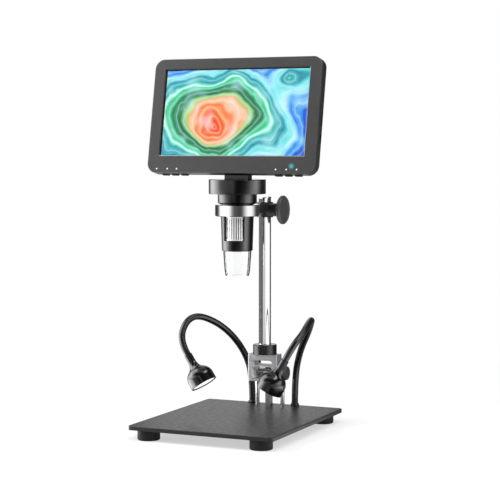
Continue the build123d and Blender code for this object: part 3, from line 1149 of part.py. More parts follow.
def fixed_neck(route):
    """Lower part of the neck; it ends in a ball where the neck bends."""
    points, radii = split_route(route)[0]
    return neck_tube(points, radii) + ball(points[-1], NECK_RADIUS)


def bending_neck(route):
    """Upper part of the neck, from the bend to the ball in the lamp's sleeve."""
    points, radii = split_route(route)[1]
    tube = neck_tube(points, radii) - ball(points[0], NECK_RADIUS + RUN_GAP)
    return tube + ball(points[-1], NECK_RADIUS)


def lamp_place(route, aim):
    """The lamp's own axes: origin at the end of the neck, z back along the sleeve."""
    return Plane(origin=route[-1], z_dir=-Vector(*aim)).location


def lamp_form(shrink):
    """Bell outline from sleeve to mouth, turned about its axis: a hollow flare, then a shoulder."""
    sleeve = LAMP_SLEEVE_RADIUS - shrink
    mouth = LAMP_MOUTH_DIAMETER / 2 - shrink
    start = -LAMP_SLEEVE_START
    top = -LAMP_SLEEVE_LENGTH
    end = -LAMP_LENGTH
    flare = LAMP_FLARE_RADIUS + shrink
    both = LAMP_FLARE_RADIUS + LAMP_SHOULDER_RADIUS
    across = mouth - sleeve - both
    along = math.sqrt(both ** 2 - across ** 2)
    share = flare / both
    turn = (sleeve + flare + across * share, 0, top - along * share)
    shoulder = (mouth, 0, top - along)
    curve = TangentArc((sleeve, 0, top), turn, tangent=(0, 0, -1))
    curve += TangentArc(shoulder, turn, tangent=(0, 0, 1))
    outline = curve + Polyline(shoulder, (mouth, 0, end), (0, 0, end), (0, 0, start), (sleeve, 0, start),
                               (sleeve, 0, top))
    return revolve(make_face(outline), Axis.Z)


def lamp_shell():
    """Bell-shaped lamp cover with its neck sleeve."""
    half = LAMP_MOUTH_DIAMETER
    inside = lamp_form(LAMP_WALL) - block((-half, half), (-half, half), (-LAMP_SLEEVE_LENGTH - LAMP_CROWN, 0))
    return lamp_form(0) - inside - ball((0, 0, 0), NECK_RADIUS + RUN_GAP)


def lamp_lens():
    """Round window with a slightly domed face, set back a little from the mouth."""
    radius = LAMP_WINDOW_RADIUS
    low, top = LAMP_WINDOW_LOW, LAMP_WINDOW_TOP
    peak = low - LAMP_LENS_BULGE
    sides = Polyline((0, 0, peak), (0, 0, top), (radius, 0, top), (radius, 0, low))
    return revolve(make_face(dome_arc(radius, low, peak) + sides), Axis.Z)


def lamp_board():
    """Round board on a skirt behind the window, with its light source in the middle."""
    low = LAMP_WINDOW_TOP + SEAT_GAP
    seat = LAMP_WINDOW_TOP + LAMP_BOARD_GAP
    top = seat + LAMP_BOARD_THICKNESS
    radius = LAMP_WINDOW_RADIUS - LAMP_BOARD_STEP
    inner = radius - LAMP_BOARD_SKIRT
    half = LAMP_LED_SIZE / 2
    board = turned([(0, seat), (inner, seat), (inner, low), (radius, low), (radius, top), (0, top)])
    return board + block((-half, half), (-half, half), (seat - LAMP_LED_HEIGHT, seat))


# ---------------------------------------------------------------- nodes

def all_nodes():
    nodes = {
        "base_plate": base_plate(),
        "rubber_feet": rubber_feet(),
        "base_screws": base_screws(),
        "guide_rods": guide_rods(),
        "rod_caps": rod_caps(),
        "rack_bar": rack_bar(),
        "lamp_sockets": lamp_sockets(),
        "focus_bracket": focus_bracket(),
        "guide_bushes": guide_bushes(),
        "column": column(),
        "column_nut": column_nut(),
        "column_cap": column_cap(),
        "pinion_shaft": pinion_shaft(),
        "pinion": pinion(),
        "focus_knob": focus_knob(),
        "clamp_liner": clamp_liner(),
        "support_arm": support_arm(),
        "arm_ring": arm_ring(),
        "arm_screw": arm_screw(),
        "lock_screw": lock_screw(),
        "lock_knob": lock_knob(),
        "barrel_housing": barrel_housing(),
        "neck_ring": neck_ring(),
        "collar": collar(),
        "neck_block": neck_block(),
        "hinge_pin": hinge_pin(),
        "clear_cone": clear_cone(),
        "led_board": led_board(),
        "cone_leds": cone_leds(),
        "lens_guide": lens_guide(),
        "sensor_board": sensor_board(),
        "focus_wheel": focus_wheel(),
        "lens_barrel": lens_barrel(),
        "objective_lens": objective_lens(),
        "front_bezel": front_bezel(),
        "rear_cover": rear_cover(),
        "cover_glass": cover_glass(),
        "lcd_panel": lcd_panel(),
        "main_board": main_board(),
        "battery": battery(),
        "status_led": status_led(),
        "case_screws": case_screws(),
        "side_sockets": side_sockets(),
    }
    for number, x in enumerate(BUTTON_CENTRES, start=1):
        nodes[f"button_{number}"] = button(x)
    for side, x, bends, aim in (("left", LEFT_NECK_X, LEFT_BENDS, LEFT_LAMP_AIM),
                                ("right", RIGHT_NECK_X, RIGHT_BENDS, RIGHT_LAMP_AIM)):
        route = neck_route(x, bends)
        place = lamp_place(route, aim)
        nodes[f"gooseneck_lower_{side}"] = fixed_neck(route)
        nodes[f"gooseneck_upper_{side}"] = bending_neck(route)
        nodes[f"lamp_shell_{side}"] = place * lamp_shell()
        nodes[f"lamp_board_{side}"] = place * lamp_board()
        nodes[f"lamp_lens_{side}"] = place * lamp_lens()
    return nodes


def main():
    os.makedirs("parts", exist_ok=True)
    for name, shape in all_nodes().items():
        pieces = shape if isinstance(shape, list) else [shape]
        solids = [solid for piece in pieces for solid in piece.solids()]
        export_step(Compound(children=solids), f"parts/{name}.step")


main()
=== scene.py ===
"""The looks of a digital microscope on a stand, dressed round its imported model.

Lengths are in metres, in the model's own frame: x right, y back, z up, with the origin on
the top face of the base plate, on the optical axis. Sizes given with MM are millimetres.
"""

import json
import math

import bmesh
import bpy
from mathutils import Matrix, Vector

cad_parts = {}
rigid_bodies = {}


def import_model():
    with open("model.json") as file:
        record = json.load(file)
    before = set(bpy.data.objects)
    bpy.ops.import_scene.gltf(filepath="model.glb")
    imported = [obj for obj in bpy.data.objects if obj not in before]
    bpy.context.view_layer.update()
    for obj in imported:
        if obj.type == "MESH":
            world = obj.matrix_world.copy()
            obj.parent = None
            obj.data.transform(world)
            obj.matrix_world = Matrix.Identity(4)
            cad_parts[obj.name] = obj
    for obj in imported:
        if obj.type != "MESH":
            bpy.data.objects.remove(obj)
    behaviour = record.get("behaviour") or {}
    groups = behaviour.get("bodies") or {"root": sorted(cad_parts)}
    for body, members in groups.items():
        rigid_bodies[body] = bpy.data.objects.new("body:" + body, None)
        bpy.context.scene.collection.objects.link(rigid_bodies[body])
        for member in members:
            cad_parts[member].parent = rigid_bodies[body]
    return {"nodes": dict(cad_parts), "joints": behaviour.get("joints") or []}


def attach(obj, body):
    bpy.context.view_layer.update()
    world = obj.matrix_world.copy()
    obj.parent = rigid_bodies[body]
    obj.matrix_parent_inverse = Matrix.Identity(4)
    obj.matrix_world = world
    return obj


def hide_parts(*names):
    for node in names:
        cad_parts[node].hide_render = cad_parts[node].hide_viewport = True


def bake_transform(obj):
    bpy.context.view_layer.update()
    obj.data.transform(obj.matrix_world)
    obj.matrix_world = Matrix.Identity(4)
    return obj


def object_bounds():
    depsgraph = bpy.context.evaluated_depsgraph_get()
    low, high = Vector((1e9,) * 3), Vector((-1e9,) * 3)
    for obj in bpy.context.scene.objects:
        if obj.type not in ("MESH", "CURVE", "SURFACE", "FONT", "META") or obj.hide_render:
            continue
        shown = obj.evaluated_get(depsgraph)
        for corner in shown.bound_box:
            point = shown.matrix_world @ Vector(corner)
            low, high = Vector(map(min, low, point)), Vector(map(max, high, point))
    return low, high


MM = 0.001

for leftover in list(bpy.data.objects):
    bpy.data.objects.remove(leftover)
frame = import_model()
cad_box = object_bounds()
nodes = frame["nodes"]


def joint(name):
    """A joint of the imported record, by name."""
    return next(entry for entry in frame["joints"] if entry["name"] == name)


# ---------------------------------------------------------------- places and sizes

FLOOR_Z = cad_box[0][2]

# The screen's own axes: x right, y back from the glass, z up, from the picture's middle.
SCREEN_TILT = math.radians(-10.8)
HINGE_BEHIND_GLASS = 21.3 * MM
HINGE_UNDER_PICTURE = 48.7 * MM
SCREEN = (
    Matrix.Translation(Vector(joint("screen_tilt")["pos_m"]))
    @ Matrix.Rotation(SCREEN_TILT, 4, "X")
    @ Matrix.Translation(Vector((0, -HINGE_BEHIND_GLASS, HINGE_UNDER_PICTURE)))
)
PICTURE_WIDTH = 154.1 * MM
PICTURE_HEIGHT = 85.9 * MM
PICTURE_FRONT = 1.355 * MM       # just behind the cover glass
PICTURE_BACK = 1.395 * MM
PICTURE_INSET_LEFT = 0.9 * MM    # unlit margins of the display module
PICTURE_INSET_TOP = 0.7 * MM
BEZEL_FRONT = -1.2 * MM
BEZEL_SKIN = 0.6 * MM            # the bezel's grey front ends this far back; behind it the sides are painted black as shade
BEZEL_SKIN_FADE = 0.4            # share of the skin's depth where the painted shade of the sides starts

# The lip round the picture.
TRIM_WIDTH = 0.6 * MM
TRIM_BEVEL = 0.4                 # share of the width that slopes
TRIM_PROUD = 0.12 * MM           # in front of the bezel
TRIM_DEEP = 1.3 * MM             # its foot inside the opening, behind the bezel's front
TRIM_STEP = 0.3 * MM             # where its slope starts, behind the bezel's front
TRIM_BURIED = 0.02 * MM          # how far its outer edge is sunk into the bezel
TRIM_FIT = 0.9999                # keeps the lip's walls off those of the opening

# The status light and the marks over the buttons.
STATUS_PLACE = (65.2 * MM, BEZEL_FRONT, -53.1 * MM)
STATUS_LENS = (0.2 * MM, 1.1 * MM)    # radii of its pale middle and its rim
STATUS_HALO = (1.1 * MM, 3.6 * MM)    # radii over which its glow on the bezel fades
STATUS_HALO_GLOW = 0.45
MARK_HEIGHT = -56.3 * MM
MARKS = [x * MM for x in (-78.6, -66.8, -56.6, 49.1, 60.2, 70.8)]
MARK_RADIUS = 0.75 * MM
MARK_THICKNESS = 0.06 * MM
MARK_SIDES = 24

WHEEL_GROOVE = (12.4 * MM, 12.8 * MM)    # radii of the floors of the wheel's grooves and of its rib tops; the painted shade in the grooves fades out between them
BRACKET_OPENING = 12.0 * MM      # the bracket's openings lie left of this; walls there that face right get painted light

# Flexible necks, as in the model: from the seat in the plate to the lamp.
NECK_RADIUS = 3.4 * MM
NECK_RIB_PITCH = 2.0 * MM
NECK_RIB_HEIGHT = 0.16 * MM
NECK_RINGS_PER_RIB = 7
NECK_SIDES = 24
NECK_CURVE_ORDER = 3
NECK_CURVE_STEPS = 40
NECK_PLAIN_END = 4.0 * MM        # length without ribs at each end
NECK_BALL_RINGS = 6
NECK_SHARP_EDGE = math.radians(60)
NECK_ROUTES = {
    "left": [
        (-22.7, 86.7, -2.0), (-22.7, 86.7, 29.0), (-28.5, 78.5, 56.0), (-41.0, 58.5, 81.5),
        (-58.0, 33.5, 96.0), (-64.5, 15.5, 91.0), (-64.1, 1.4, 72.7), (-55.3, 0.9, 59.4),
    ],
    "right": [
        (25.0, 86.7, -2.0), (25.0, 86.7, 31.0), (33.0, 81.5, 58.5), (46.5, 70.0, 78.5),
        (57.5, 54.0, 95.0), (60.5, 36.0, 91.5), (62.0, 18.0, 83.5), (58.4, 2.3, 73.4),
        (50.6, 1.5, 59.4),
    ],
}


# ---------------------------------------------------------------- studio

CAMERA_PLACE = Vector((0.65052, -1.40652, 0.26920))
CAMERA_DOWN = 3.8365      # degrees below level
CAMERA_LEFT = 24.3617     # degrees to the left of straight back
CAMERA_LENS = 114.09
CAMERA_SENSOR = 36.0
CAMERA_AZIMUTH = 24.6     # of the camera's place, in degrees from -y towards +x
WORLD_FILL = 0.45         # brightness of the world as a light
FLOOR_SIZE = 40.0
FLOOR_COLOUR = (0.86, 0.86, 0.86)
FLOOR_GLOW = 0.55         # share of the floor near the object that is plain white
FLOOR_SHADOW_NEAR = 0.18  # the floor turns wholly white between these distances
FLOOR_SHADOW_FAR = 0.60

# Lamps of the studio, at an angle to the right of the photograph's viewpoint.
STUDIO_LAMPS = {
    "key_left": dict(angle=-95, distance=1.25, height=0.70, width=0.80, tall=1.25, power=20),
    "fill_right": dict(angle=62, distance=1.25, height=0.60, width=0.55, tall=1.25, power=8),
    "top": dict(angle=10, distance=0.70, height=1.30, width=1.3, tall=1.3, power=14),
}
STUDIO_LAMPS_AIM = 0.16    # height of the point that they face

# What shiny surfaces see round them: brightness at each angle to the right of the
# photograph's viewpoint, at five levels. Each level is even between its two heights.
SCREENS_DISTANCE = 0.55
SCREENS_END = 166         # degrees, to each side
SCREENS_STEP = 2
SCREENS_BASE = [
    (-166, 0.3), (-140, 0.3), (-124, 6.0), (-86, 6.0), (-66, 1.2), (-54, 0.5), (-47, 0.6),
    (-6, 0.70), (4, 1.2), (52, 1.6), (62, 3.0), (74, 2.6), (84, 0.6), (94, 0.12), (166, 0.05),
]
SCREENS_LOW = [
    (-166, 0.1), (-150, 0.05), (-132, 1.8), (-120, 5.2), (-108, 7.8), (-92, 9.0), (-80, 6.6),
    (-70, 4.1), (-60, 2.3), (-50, 1.1), (-40, 0.3), (-28, 0.03), (-8, 0.02), (8, 0.06),
    (20, 0.35), (34, 1.2), (44, 2.6), (54, 4.0), (62, 4.6), (72, 3.9), (82, 2.4), (92, 0.9),
    (102, 0.25), (112, 0.05), (166, 0.1),
]
SCREENS_MIDDLE = [
    (-166, 0.3), (-150, 0.05), (-134, 1.8), (-122, 6.4), (-108, 8.4), (-96, 7.4), (-84, 4.6),
    (-74, 2.0), (-66, 1.2), (-18, 1.2), (-8, 0.3), (0, 0.0), (22, 0.0), (34, 0.12), (46, 0.7),
    (58, 2.1), (72, 4.2), (82, 4.7), (92, 2.6), (104, 0.6), (116, 0.1), (166, 0.2),
]
SCREENS_HIGH = [
    (-166, 0.3), (-150, 0.1), (-140, 0.1), (-122, 5.0), (-100, 5.5), (-82, 3.5), (-68, 0.06),
    (106, 0.05), (150, 0.05), (166, 0.3),
]
SCREENS_TOP = [
    (-166, 0.3), (-140, 0.3), (-122, 5.5), (-82, 5.5), (-60, 0.6), (0, 0.2), (28, 0.5),
    (48, 8.0), (82, 8.0), (104, 0.5), (166, 0.3),
]
SCREENS_LEVELS = [
    (FLOOR_Z, SCREENS_BASE), (0.080, SCREENS_BASE),
    (0.090, SCREENS_LOW), (0.198, SCREENS_LOW),
    (0.206, SCREENS_MIDDLE), (0.260, SCREENS_MIDDLE),
    (0.360, SCREENS_HIGH), (0.620, SCREENS_HIGH),
    (0.740, SCREENS_TOP), (1.100, SCREENS_TOP),
]

# The same on the floor, as (distance, brightness by angle).
GROUND_NEAR = [
    (-166, 0.4), (-140, 0.6), (-128, 5.0), (-112, 8.0), (-86, 8.0), (-70, 2.0), (-56, 0.6),
    (0, 0.6), (24, 0.8), (40, 2.0), (60, 4.0), (84, 4.0), (104, 0.4), (166, 0.3),
]
GROUND_FAR = [
    (-166, 0.4), (-132, 0.6), (-120, 2.0), (-88, 2.0), (-74, 0.8), (-58, 0.35), (-40, 0.10),
    (0, 0.12), (14, 0.4), (30, 1.0), (76, 1.1), (92, 0.6), (110, 0.1), (166, 0.2),
]
GROUND_RINGS = [
    (0.130, GROUND_NEAR), (0.400, GROUND_NEAR), (0.470, GROUND_FAR), (0.549, GROUND_FAR),
]
GROUND_GAP = 0.5 * MM     # above the floor

# What the column and the arm's ring see instead, at every height.
COLUMN_AXIS = (0.0, 0.067)
RING_AXIS = (0.0, 0.0)
SCREENS_COLUMN = [
    (-180, 0.3), (-172, 1.2), (-160, 1.0), (-152, 0.2), (-64, 0.2), (-54, 0.10), (-42, 0.08),
    (-36, 0.75), (4, 0.70), (12, 1.4), (80, 1.4), (91, 1.1), (99, 0.15), (107, 0.08),
    (140, 0.1), (150, 0.9), (168, 1.2), (180, 0.3),
]
SCREENS_RING = [
    (-180, 0.06), (-128, 0.06), (-115, 0.15), (-106, 0.5), (-98, 1.1), (-88, 1.5), (-48, 1.5),
    (-36, 0.9), (-25, 0.3), (-14, 0.10), (14, 0.07), (24, 0.12), (33, 0.38), (44, 0.85),
    (56, 1.2), (75, 1.2), (87, 0.85), (98, 0.4), (108, 0.12), (120, 0.05), (180, 0.06),
]
TUBES = {"column": (SCREENS_COLUMN, COLUMN_AXIS), "arm_ring": (SCREENS_RING, RING_AXIS)}
LINKED_SCREENS_DISTANCE = 0.47
LINKED_SCREENS_TOP = 0.40
LINKED_SCREENS_END = 180  # degrees, to each side


# ---------------------------------------------------------------- shader graphs

# A Mix node's sockets for colours.
MIX_FIRST = 6
MIX_SECOND = 7
MIX_RESULT = 2

WHITE = (1, 1, 1)
EVEN = (1, 1, 1)
BRUSHED = (1, 1, 0.1)        # noise drawn out along z
TURNED = (1, 1, 0.15)
NOISE_SPAN = (0.3, 0.7)      # nearly all of a noise texture lies between these
PATCH_SIZE = 14 * MM
SMEAR_SIZE = 5 * MM
HAZE_SIZE = 6 * MM
GRAIN_DEPTH = 0.1 * MM
BEVEL_SAMPLES = 4
CELL_SIZE = 3 * MM           # of the circuit board's pads and of a lamp's light sources
SPOT_REACH = 0.6             # share of a cell over which a light source fades
SPOT_SURROUND = 0.86         # brightness between the light sources
TRACE_WAVES = 24.0           # waves of the traces, in radians to a cell's size
TRACE_LEVEL = 0.2            # a trace is where the wave is above this
PAD_REACH = 0.12             # share of a cell that its pad takes
CONE_RIM = (0.50, 0.62)      # from here to here of the way to edge on, the cone turns to a painted dark reflection
CONE_RIM_SHARE = 0.97
PAINTED_LIGHT_TURN = (0.2, 0.6)     # how far to the right a wall inside the openings faces, from none to full painted light
CAST_METALLIC = 0.8


class Graph:
    """Short calls that build a node tree."""

    def __init__(self, tree):
        self.tree = tree
        tree.nodes.clear()

    def node(self, kind, inputs=None, **settings):
        made = self.tree.nodes.new(kind)
        for key, value in settings.items():
            setattr(made, key, value)
        for key, value in (inputs or {}).items():
            self.put(made.inputs[key], value)
        return made

    def put(self, socket, value):
        if isinstance(value, bpy.types.NodeSocket):
            self.tree.links.new(value, socket)
        else:
            socket.default_value = value

    def math(self, operation, first, second=0.0):
        inputs = {0: first, 1: second}
        return self.node("ShaderNodeMath", inputs, operation=operation).outputs[0]

    def remap(self, value, low, high, new_low=0.0, new_high=1.0, smooth=False):
        """The value carried from low..high to new_low..new_high, and held at both ends."""
        kind = "SMOOTHSTEP" if smooth else "LINEAR"
        inputs = {"Value": value, "From Min": low, "From Max": high,
                  "To Min": new_low, "To Max": new_high}
        return self.node("ShaderNodeMapRange", inputs, interpolation_type=kind).outputs[0]

    def mix(self, amount, first, second, blend="MIX"):
        inputs = {"Factor": amount, MIX_FIRST: first, MIX_SECOND: second}
        made = self.node("ShaderNodeMix", inputs, data_type="RGBA", blend_type=blend)
        return made.outputs[MIX_RESULT]

    def noise(self, where, size, detail=2.0, stretch=EVEN):
        """Noise with features about as large as size, in metres."""
        scaled = self.node("ShaderNodeMapping", {"Vector": where, "Scale": stretch}).outputs[0]
        inputs = {"Vector": scaled, "Scale": 1 / size, "Detail": detail}
        return self.node("ShaderNodeTexNoise", inputs).outputs["Fac"]

    def cells(self, where, size, distance="EUCLIDEAN"):
        """The distance to the middle of the nearest of many cells of about this size."""
        inputs = {"Vector": where, "Scale": 1 / size}
        return self.node("ShaderNodeTexVoronoi", inputs, distance=distance).outputs[0]

    def vector(self, operation, first, second=(0, 0, 0)):
        made = self.node("ShaderNodeVectorMath", {0: first, 1: second}, operation=operation)
        is_number = operation in ("LENGTH", "DOT_PRODUCT", "DISTANCE")
        return made.outputs["Value" if is_number else "Vector"]

    def ramp(self, value, stops):
        """A colour that changes evenly between (place, colour) stops."""
        made = self.node("ShaderNodeValToRGB", {"Fac": value})
        points = made.color_ramp.elements
        for point, (place, colour) in zip(points, (stops[0], stops[-1])):
            point.position = place
            point.color = rgba(colour)
        for place, colour in stops[1:-1]:
            points.new(place).color = rgba(colour)
        return made.outputs["Color"]

    def place(self):
        """Where each point of the surface is, in the model's frame."""
        return self.node("ShaderNodeTexCoord").outputs["Object"]

    def principled(self, inputs):
        return self.node("ShaderNodeBsdfPrincipled", inputs).outputs[0]

    def emission(self, strength):
        inputs = {"Color": rgba(WHITE), "Strength": strength}
        return self.node("ShaderNodeEmission", inputs).outputs[0]

    def mix_shaders(self, share, first, second):
        return self.node("ShaderNodeMixShader", {0: share, 1: first, 2: second}).outputs[0]

    def output(self, shader):
        self.node("ShaderNodeOutputMaterial", {"Surface": shader})


def rgba(colour):
    return (*colour, 1.0)


def shaded(colour, factor):
    return rgba([min(1.0, channel * factor) for channel in colour])


def new_material(name):
    material = bpy.data.materials.new("finish_" + name)
    material.use_nodes = True
    return material, Graph(material.node_tree)


def mottled(graph, where, colour, amount, size=PATCH_SIZE):
    """A colour that is a little lighter and darker in broad patches."""
    broad = graph.remap(graph.noise(where, size, detail=3.0), *NOISE_SPAN)
    return graph.mix(broad, shaded(colour, 1 - amount), shaded(colour, 1 + amount))


def surface(graph, where, colour, roughness, metallic=0.0, specular=0.5, smear=0.05, grain=0.0,
            grain_size=0.35 * MM, edge=0.25 * MM, stretch=EVEN, sockets=None):
    """Uneven gloss, fine grain and softened edges round a colour.

    Smear is how far the roughness strays, grain is the strength of the bumps, edge is the
    radius of the softened edges, and sockets are more inputs of the shader.
    """
    smears = graph.noise(where, SMEAR_SIZE, detail=4.0, stretch=stretch)
    rough = graph.remap(smears, *NOISE_SPAN, roughness - smear, roughness + smear)
    inputs = {"Base Color": colour, "Roughness": rough, "Metallic": metallic,
              "Specular IOR Level": specular, **(sockets or {})}
    normal = None
    if edge:
        bevel = graph.node("ShaderNodeBevel", {"Radius": edge}, samples=BEVEL_SAMPLES)
        normal = bevel.outputs[0]
    if grain:
        bumps = {"Height": graph.noise(where, grain_size, stretch=stretch),
                 "Strength": grain, "Distance": GRAIN_DEPTH}
        if normal:
            bumps["Normal"] = normal
        normal = graph.node("ShaderNodeBump", bumps).outputs[0]
    if normal:
        inputs["Normal"] = normal
    graph.output(graph.principled(inputs))


def finish(name, colour, mottle=0.08, patch=PATCH_SIZE, **recipe):
    """A moulded, painted or machined surface of one uneven colour."""
    material, graph = new_material(name)
    where = graph.place()
    surface(graph, where, mottled(graph, where, colour, mottle, patch), **recipe)
    return material


def bezel_finish():
    """The bezel: a satin grey front on sides painted black as shade, with the status light's glow
    painted on it.
    """
    material, graph = new_material("bezel_grey")
    where = graph.place()
    back = SCREEN.to_3x3() @ Vector((0, 1, 0))
    from_picture = graph.vector("SUBTRACT", where, SCREEN.translation)
    depth = graph.vector("DOT_PRODUCT", from_picture, back)
    front = graph.remap(depth, BEZEL_FRONT + BEZEL_SKIN_FADE * BEZEL_SKIN,
                        BEZEL_FRONT + BEZEL_SKIN, 1.0, 0.0, smooth=True)
    grey = mottled(graph, where, (0.038, 0.037, 0.037), 0.05)
    # painted shade: behind the grey front, the bezel's sides are coloured near black
    black = mottled(graph, where, (0.008, 0.008, 0.0085), 0.15)
    away = graph.vector("DISTANCE", where, SCREEN @ Vector(STATUS_PLACE))
    halo = graph.remap(away, *STATUS_HALO, STATUS_HALO_GLOW, 0.0, smooth=True)
    glow = {"Emission Color": rgba((0.02, 0.60, 0.70)), "Emission Strength": halo}
    surface(graph, where, graph.mix(front, black, grey), roughness=0.42, grain=0.35,
            grain_size=0.25 * MM, edge=0.5 * MM, sockets=glow)
    return material


def status_finish():
    """The status light: teal, with a pale middle."""
    material, graph = new_material("status_teal")
    where = graph.place()
    away = graph.vector("DISTANCE", where, SCREEN @ Vector(STATUS_PLACE))
    outward = graph.remap(away, *STATUS_LENS, smooth=True)
    middle, rim = rgba((0.30, 0.90, 0.92)), rgba((0.03, 0.42, 0.46))
    light = graph.mix(outward, middle, rim)
    graph.output(graph.principled({
        "Base Color": rgba((0.01, 0.10, 0.11)), "Roughness": 0.25,
        "Emission Color": light, "Emission Strength": 0.55}))
    return material


def wheel_finish():
    """The ribbed wheel: satin bright metal, with painted shade in its grooves."""
    material, graph = new_material("wheel_steel")
    where = graph.place()
    out = graph.vector("LENGTH", graph.vector("MULTIPLY", where, (1, 1, 0)))
    top = graph.remap(out, *WHEEL_GROOVE, smooth=True)
    metal = mottled(graph, where, (0.90, 0.90, 0.91), 0.04, 8 * MM)
    # painted shade: the grooves between the ribs are coloured dark
    groove_shade = rgba((0.16, 0.16, 0.165))
    surface(graph, where, graph.mix(top, groove_shade, metal), roughness=0.30, metallic=0.35,
            grain=0.1, grain_size=0.3 * MM, edge=0, stretch=BRUSHED)
    return material


def bracket_finish():
    """Cast silver, with painted light: the walls inside the bracket's openings that face right
    are pale and not metallic.
    """
    material, graph = new_material("bracket_cast")
    where = graph.place()
    # painted light: walls inside the openings that face right are coloured pale and not metallic
    facing = graph.node("ShaderNodeNewGeometry").outputs["True Normal"]
    turned = graph.remap(graph.vector("DOT_PRODUCT", facing, (1, 0, 0)), *PAINTED_LIGHT_TURN)
    aside = graph.vector("DOT_PRODUCT", where, (1, 0, 0))
    painted_light_walls = graph.math("MULTIPLY", turned, graph.math("LESS_THAN", aside, BRACKET_OPENING))
    cast = mottled(graph, where, (0.32, 0.32, 0.33), 0.08)
    pale = rgba((0.95, 0.95, 0.95))
    surface(graph, where, graph.mix(painted_light_walls, cast, pale), roughness=0.42,
            metallic=graph.remap(painted_light_walls, 0.0, 1.0, CAST_METALLIC, 0.0), smear=0.08,
            grain=0.5, grain_size=0.45 * MM)
    return material


def clear_shader(graph, colour, haze, ior):
    """A clear shader whose roughness varies over it, between the two numbers of haze."""
    patches = graph.noise(graph.place(), HAZE_SIZE, detail=3.0)
    rough = graph.remap(patches, *NOISE_SPAN, *haze)
    return graph.principled({"Base Color": rgba(colour), "Roughness": rough, "IOR": ior,
                             "Transmission Weight": 1.0})


def glass_finish():
    """Clear glass with a faint haze."""
    material, graph = new_material("glass")
    graph.output(clear_shader(graph, (0.99, 1.0, 1.0), haze=(0.006, 0.014), ior=1.5))
    return material


def clear_cone_finish():
    """Clear plastic with a painted dark reflection where it is seen edge on."""
    material, graph = new_material("clear_plastic")
    plastic = clear_shader(graph, (0.97, 0.98, 0.98), haze=(0.03, 0.07), ior=1.46)
    # painted dark reflection, mixed in where the surface is seen edge on
    painted_dark_rim = graph.node("ShaderNodeBsdfDiffuse", {"Color": rgba((0.02, 0.02, 0.022))}).outputs[0]
    facing = graph.node("ShaderNodeLayerWeight", {"Blend": 0.5}).outputs["Facing"]
    edge_on = graph.remap(facing, *CONE_RIM, 0.0, CONE_RIM_SHARE, smooth=True)
    graph.output(graph.mix_shaders(edge_on, plastic, painted_dark_rim))
    return material


def circuit_board_finish():
    """Green solder resist over traces, with tinned pads."""
    material, graph = new_material("circuit_board")
    cells = graph.cells(graph.place(), CELL_SIZE, "MANHATTAN")
    waves = graph.math("SINE", graph.math("MULTIPLY", cells, TRACE_WAVES))
    trace = graph.math("GREATER_THAN", waves, TRACE_LEVEL)
    pad = graph.math("LESS_THAN", cells, PAD_REACH)
    resist, raised = rgba((0.006, 0.055, 0.022)), rgba((0.012, 0.10, 0.035))
    tin = rgba((0.55, 0.55, 0.5))
    colour = graph.mix(pad, graph.mix(trace, resist, raised), tin)
    graph.output(graph.principled({"Base Color": colour, "Roughness": 0.35, "Metallic": pad}))
    return material


def glowing_finish(name, colour, strength):
    """A lit lens or window, brighter in small spots where its light sources are."""
    material, graph = new_material(name)
    spots = graph.remap(graph.cells(graph.place(), CELL_SIZE), 0.0, SPOT_REACH)
    light = graph.mix(spots, rgba(colour), shaded(colour, SPOT_SURROUND))
    graph.output(graph.principled({"Base Color": light, "Roughness": 0.25,
                                   "Emission Color": light, "Emission Strength": strength}))
    return material


RECIPES = {
    "plate_black": dict(colour=(0.009, 0.009, 0.0095), roughness=0.40, specular=0.38,
                        mottle=0.12, grain=0.35, grain_size=0.5 * MM, edge=0.4 * MM),
    "rubber": dict(colour=(0.005, 0.005, 0.005), roughness=0.62, specular=0.25, mottle=0.2,
                   grain=0.5, grain_size=0.3 * MM),
    "steel": dict(colour=(0.44, 0.44, 0.45), roughness=0.24, metallic=1.0, grain=0.15,
                  stretch=BRUSHED),
    "dark_metal": dict(colour=(0.066, 0.066, 0.069), roughness=0.22, metallic=1.0, grain=0.2,
                       stretch=TURNED),
    "nut_metal": dict(colour=(0.040, 0.040, 0.042), roughness=0.22, metallic=1.0, grain=0.2,
                      stretch=TURNED),
    "brass": dict(colour=(0.62, 0.43, 0.17), roughness=0.26, metallic=1.0, grain=0.2),
    "chrome": dict(colour=(0.80, 0.80, 0.81), roughness=0.11, metallic=1.0, mottle=0.02,
                   smear=0.02, edge=0.15 * MM),
    "socket_metal": dict(colour=(0.62, 0.62, 0.63), roughness=0.22, metallic=1.0, mottle=0.05),
    "gooseneck_black": dict(colour=(0.004, 0.004, 0.0045), roughness=0.18, mottle=0.15, edge=0),
    "black_matte": dict(colour=(0.028, 0.028, 0.029), roughness=0.5, mottle=0.12, grain=0.4),
    "black_gloss": dict(colour=(0.0025, 0.0025, 0.003), roughness=0.14, mottle=0.15, smear=0.03,
                        grain=0.04, grain_size=0.8 * MM, edge=0.3 * MM),
    "arm_black": dict(colour=(0.016, 0.016, 0.017), roughness=0.34, mottle=0.15, grain=0.4,
                      edge=0.5 * MM),
    "case_black": dict(colour=(0.010, 0.010, 0.011), roughness=0.40, mottle=0.12, grain=0.6,
                       grain_size=0.4 * MM, edge=0.4 * MM),
    "button_black": dict(colour=(0.012, 0.012, 0.013), roughness=0.36, mottle=0.12, grain=0.3),
    "display": dict(colour=(0.012, 0.012, 0.013), roughness=0.25, mottle=0.1),
    "battery_wrap": dict(colour=(0.05, 0.09, 0.16), roughness=0.35, mottle=0.1, grain=0.3,
                         grain_size=2 * MM),
    # The lip round the picture: its light grey is a painted highlight, its black a painted
    # shadow.
    "trim_painted_highlight": dict(colour=(0.55, 0.56, 0.57), roughness=0.3, metallic=0.3, mottle=0.02,
                      edge=0),
    "trim_painted_shadow": dict(colour=(0.003, 0.003, 0.003), roughness=0.4, mottle=0.02, edge=0),
    "mark_white": dict(colour=(0.80, 0.80, 0.80), roughness=0.5, mottle=0.02, edge=0),
}

# Nodes whose finish is not that of their slot.
OWN_FINISHES = {
    "status_led": "status_teal",
    "focus_wheel": "wheel_steel",
    "column_nut": "nut_metal",
}


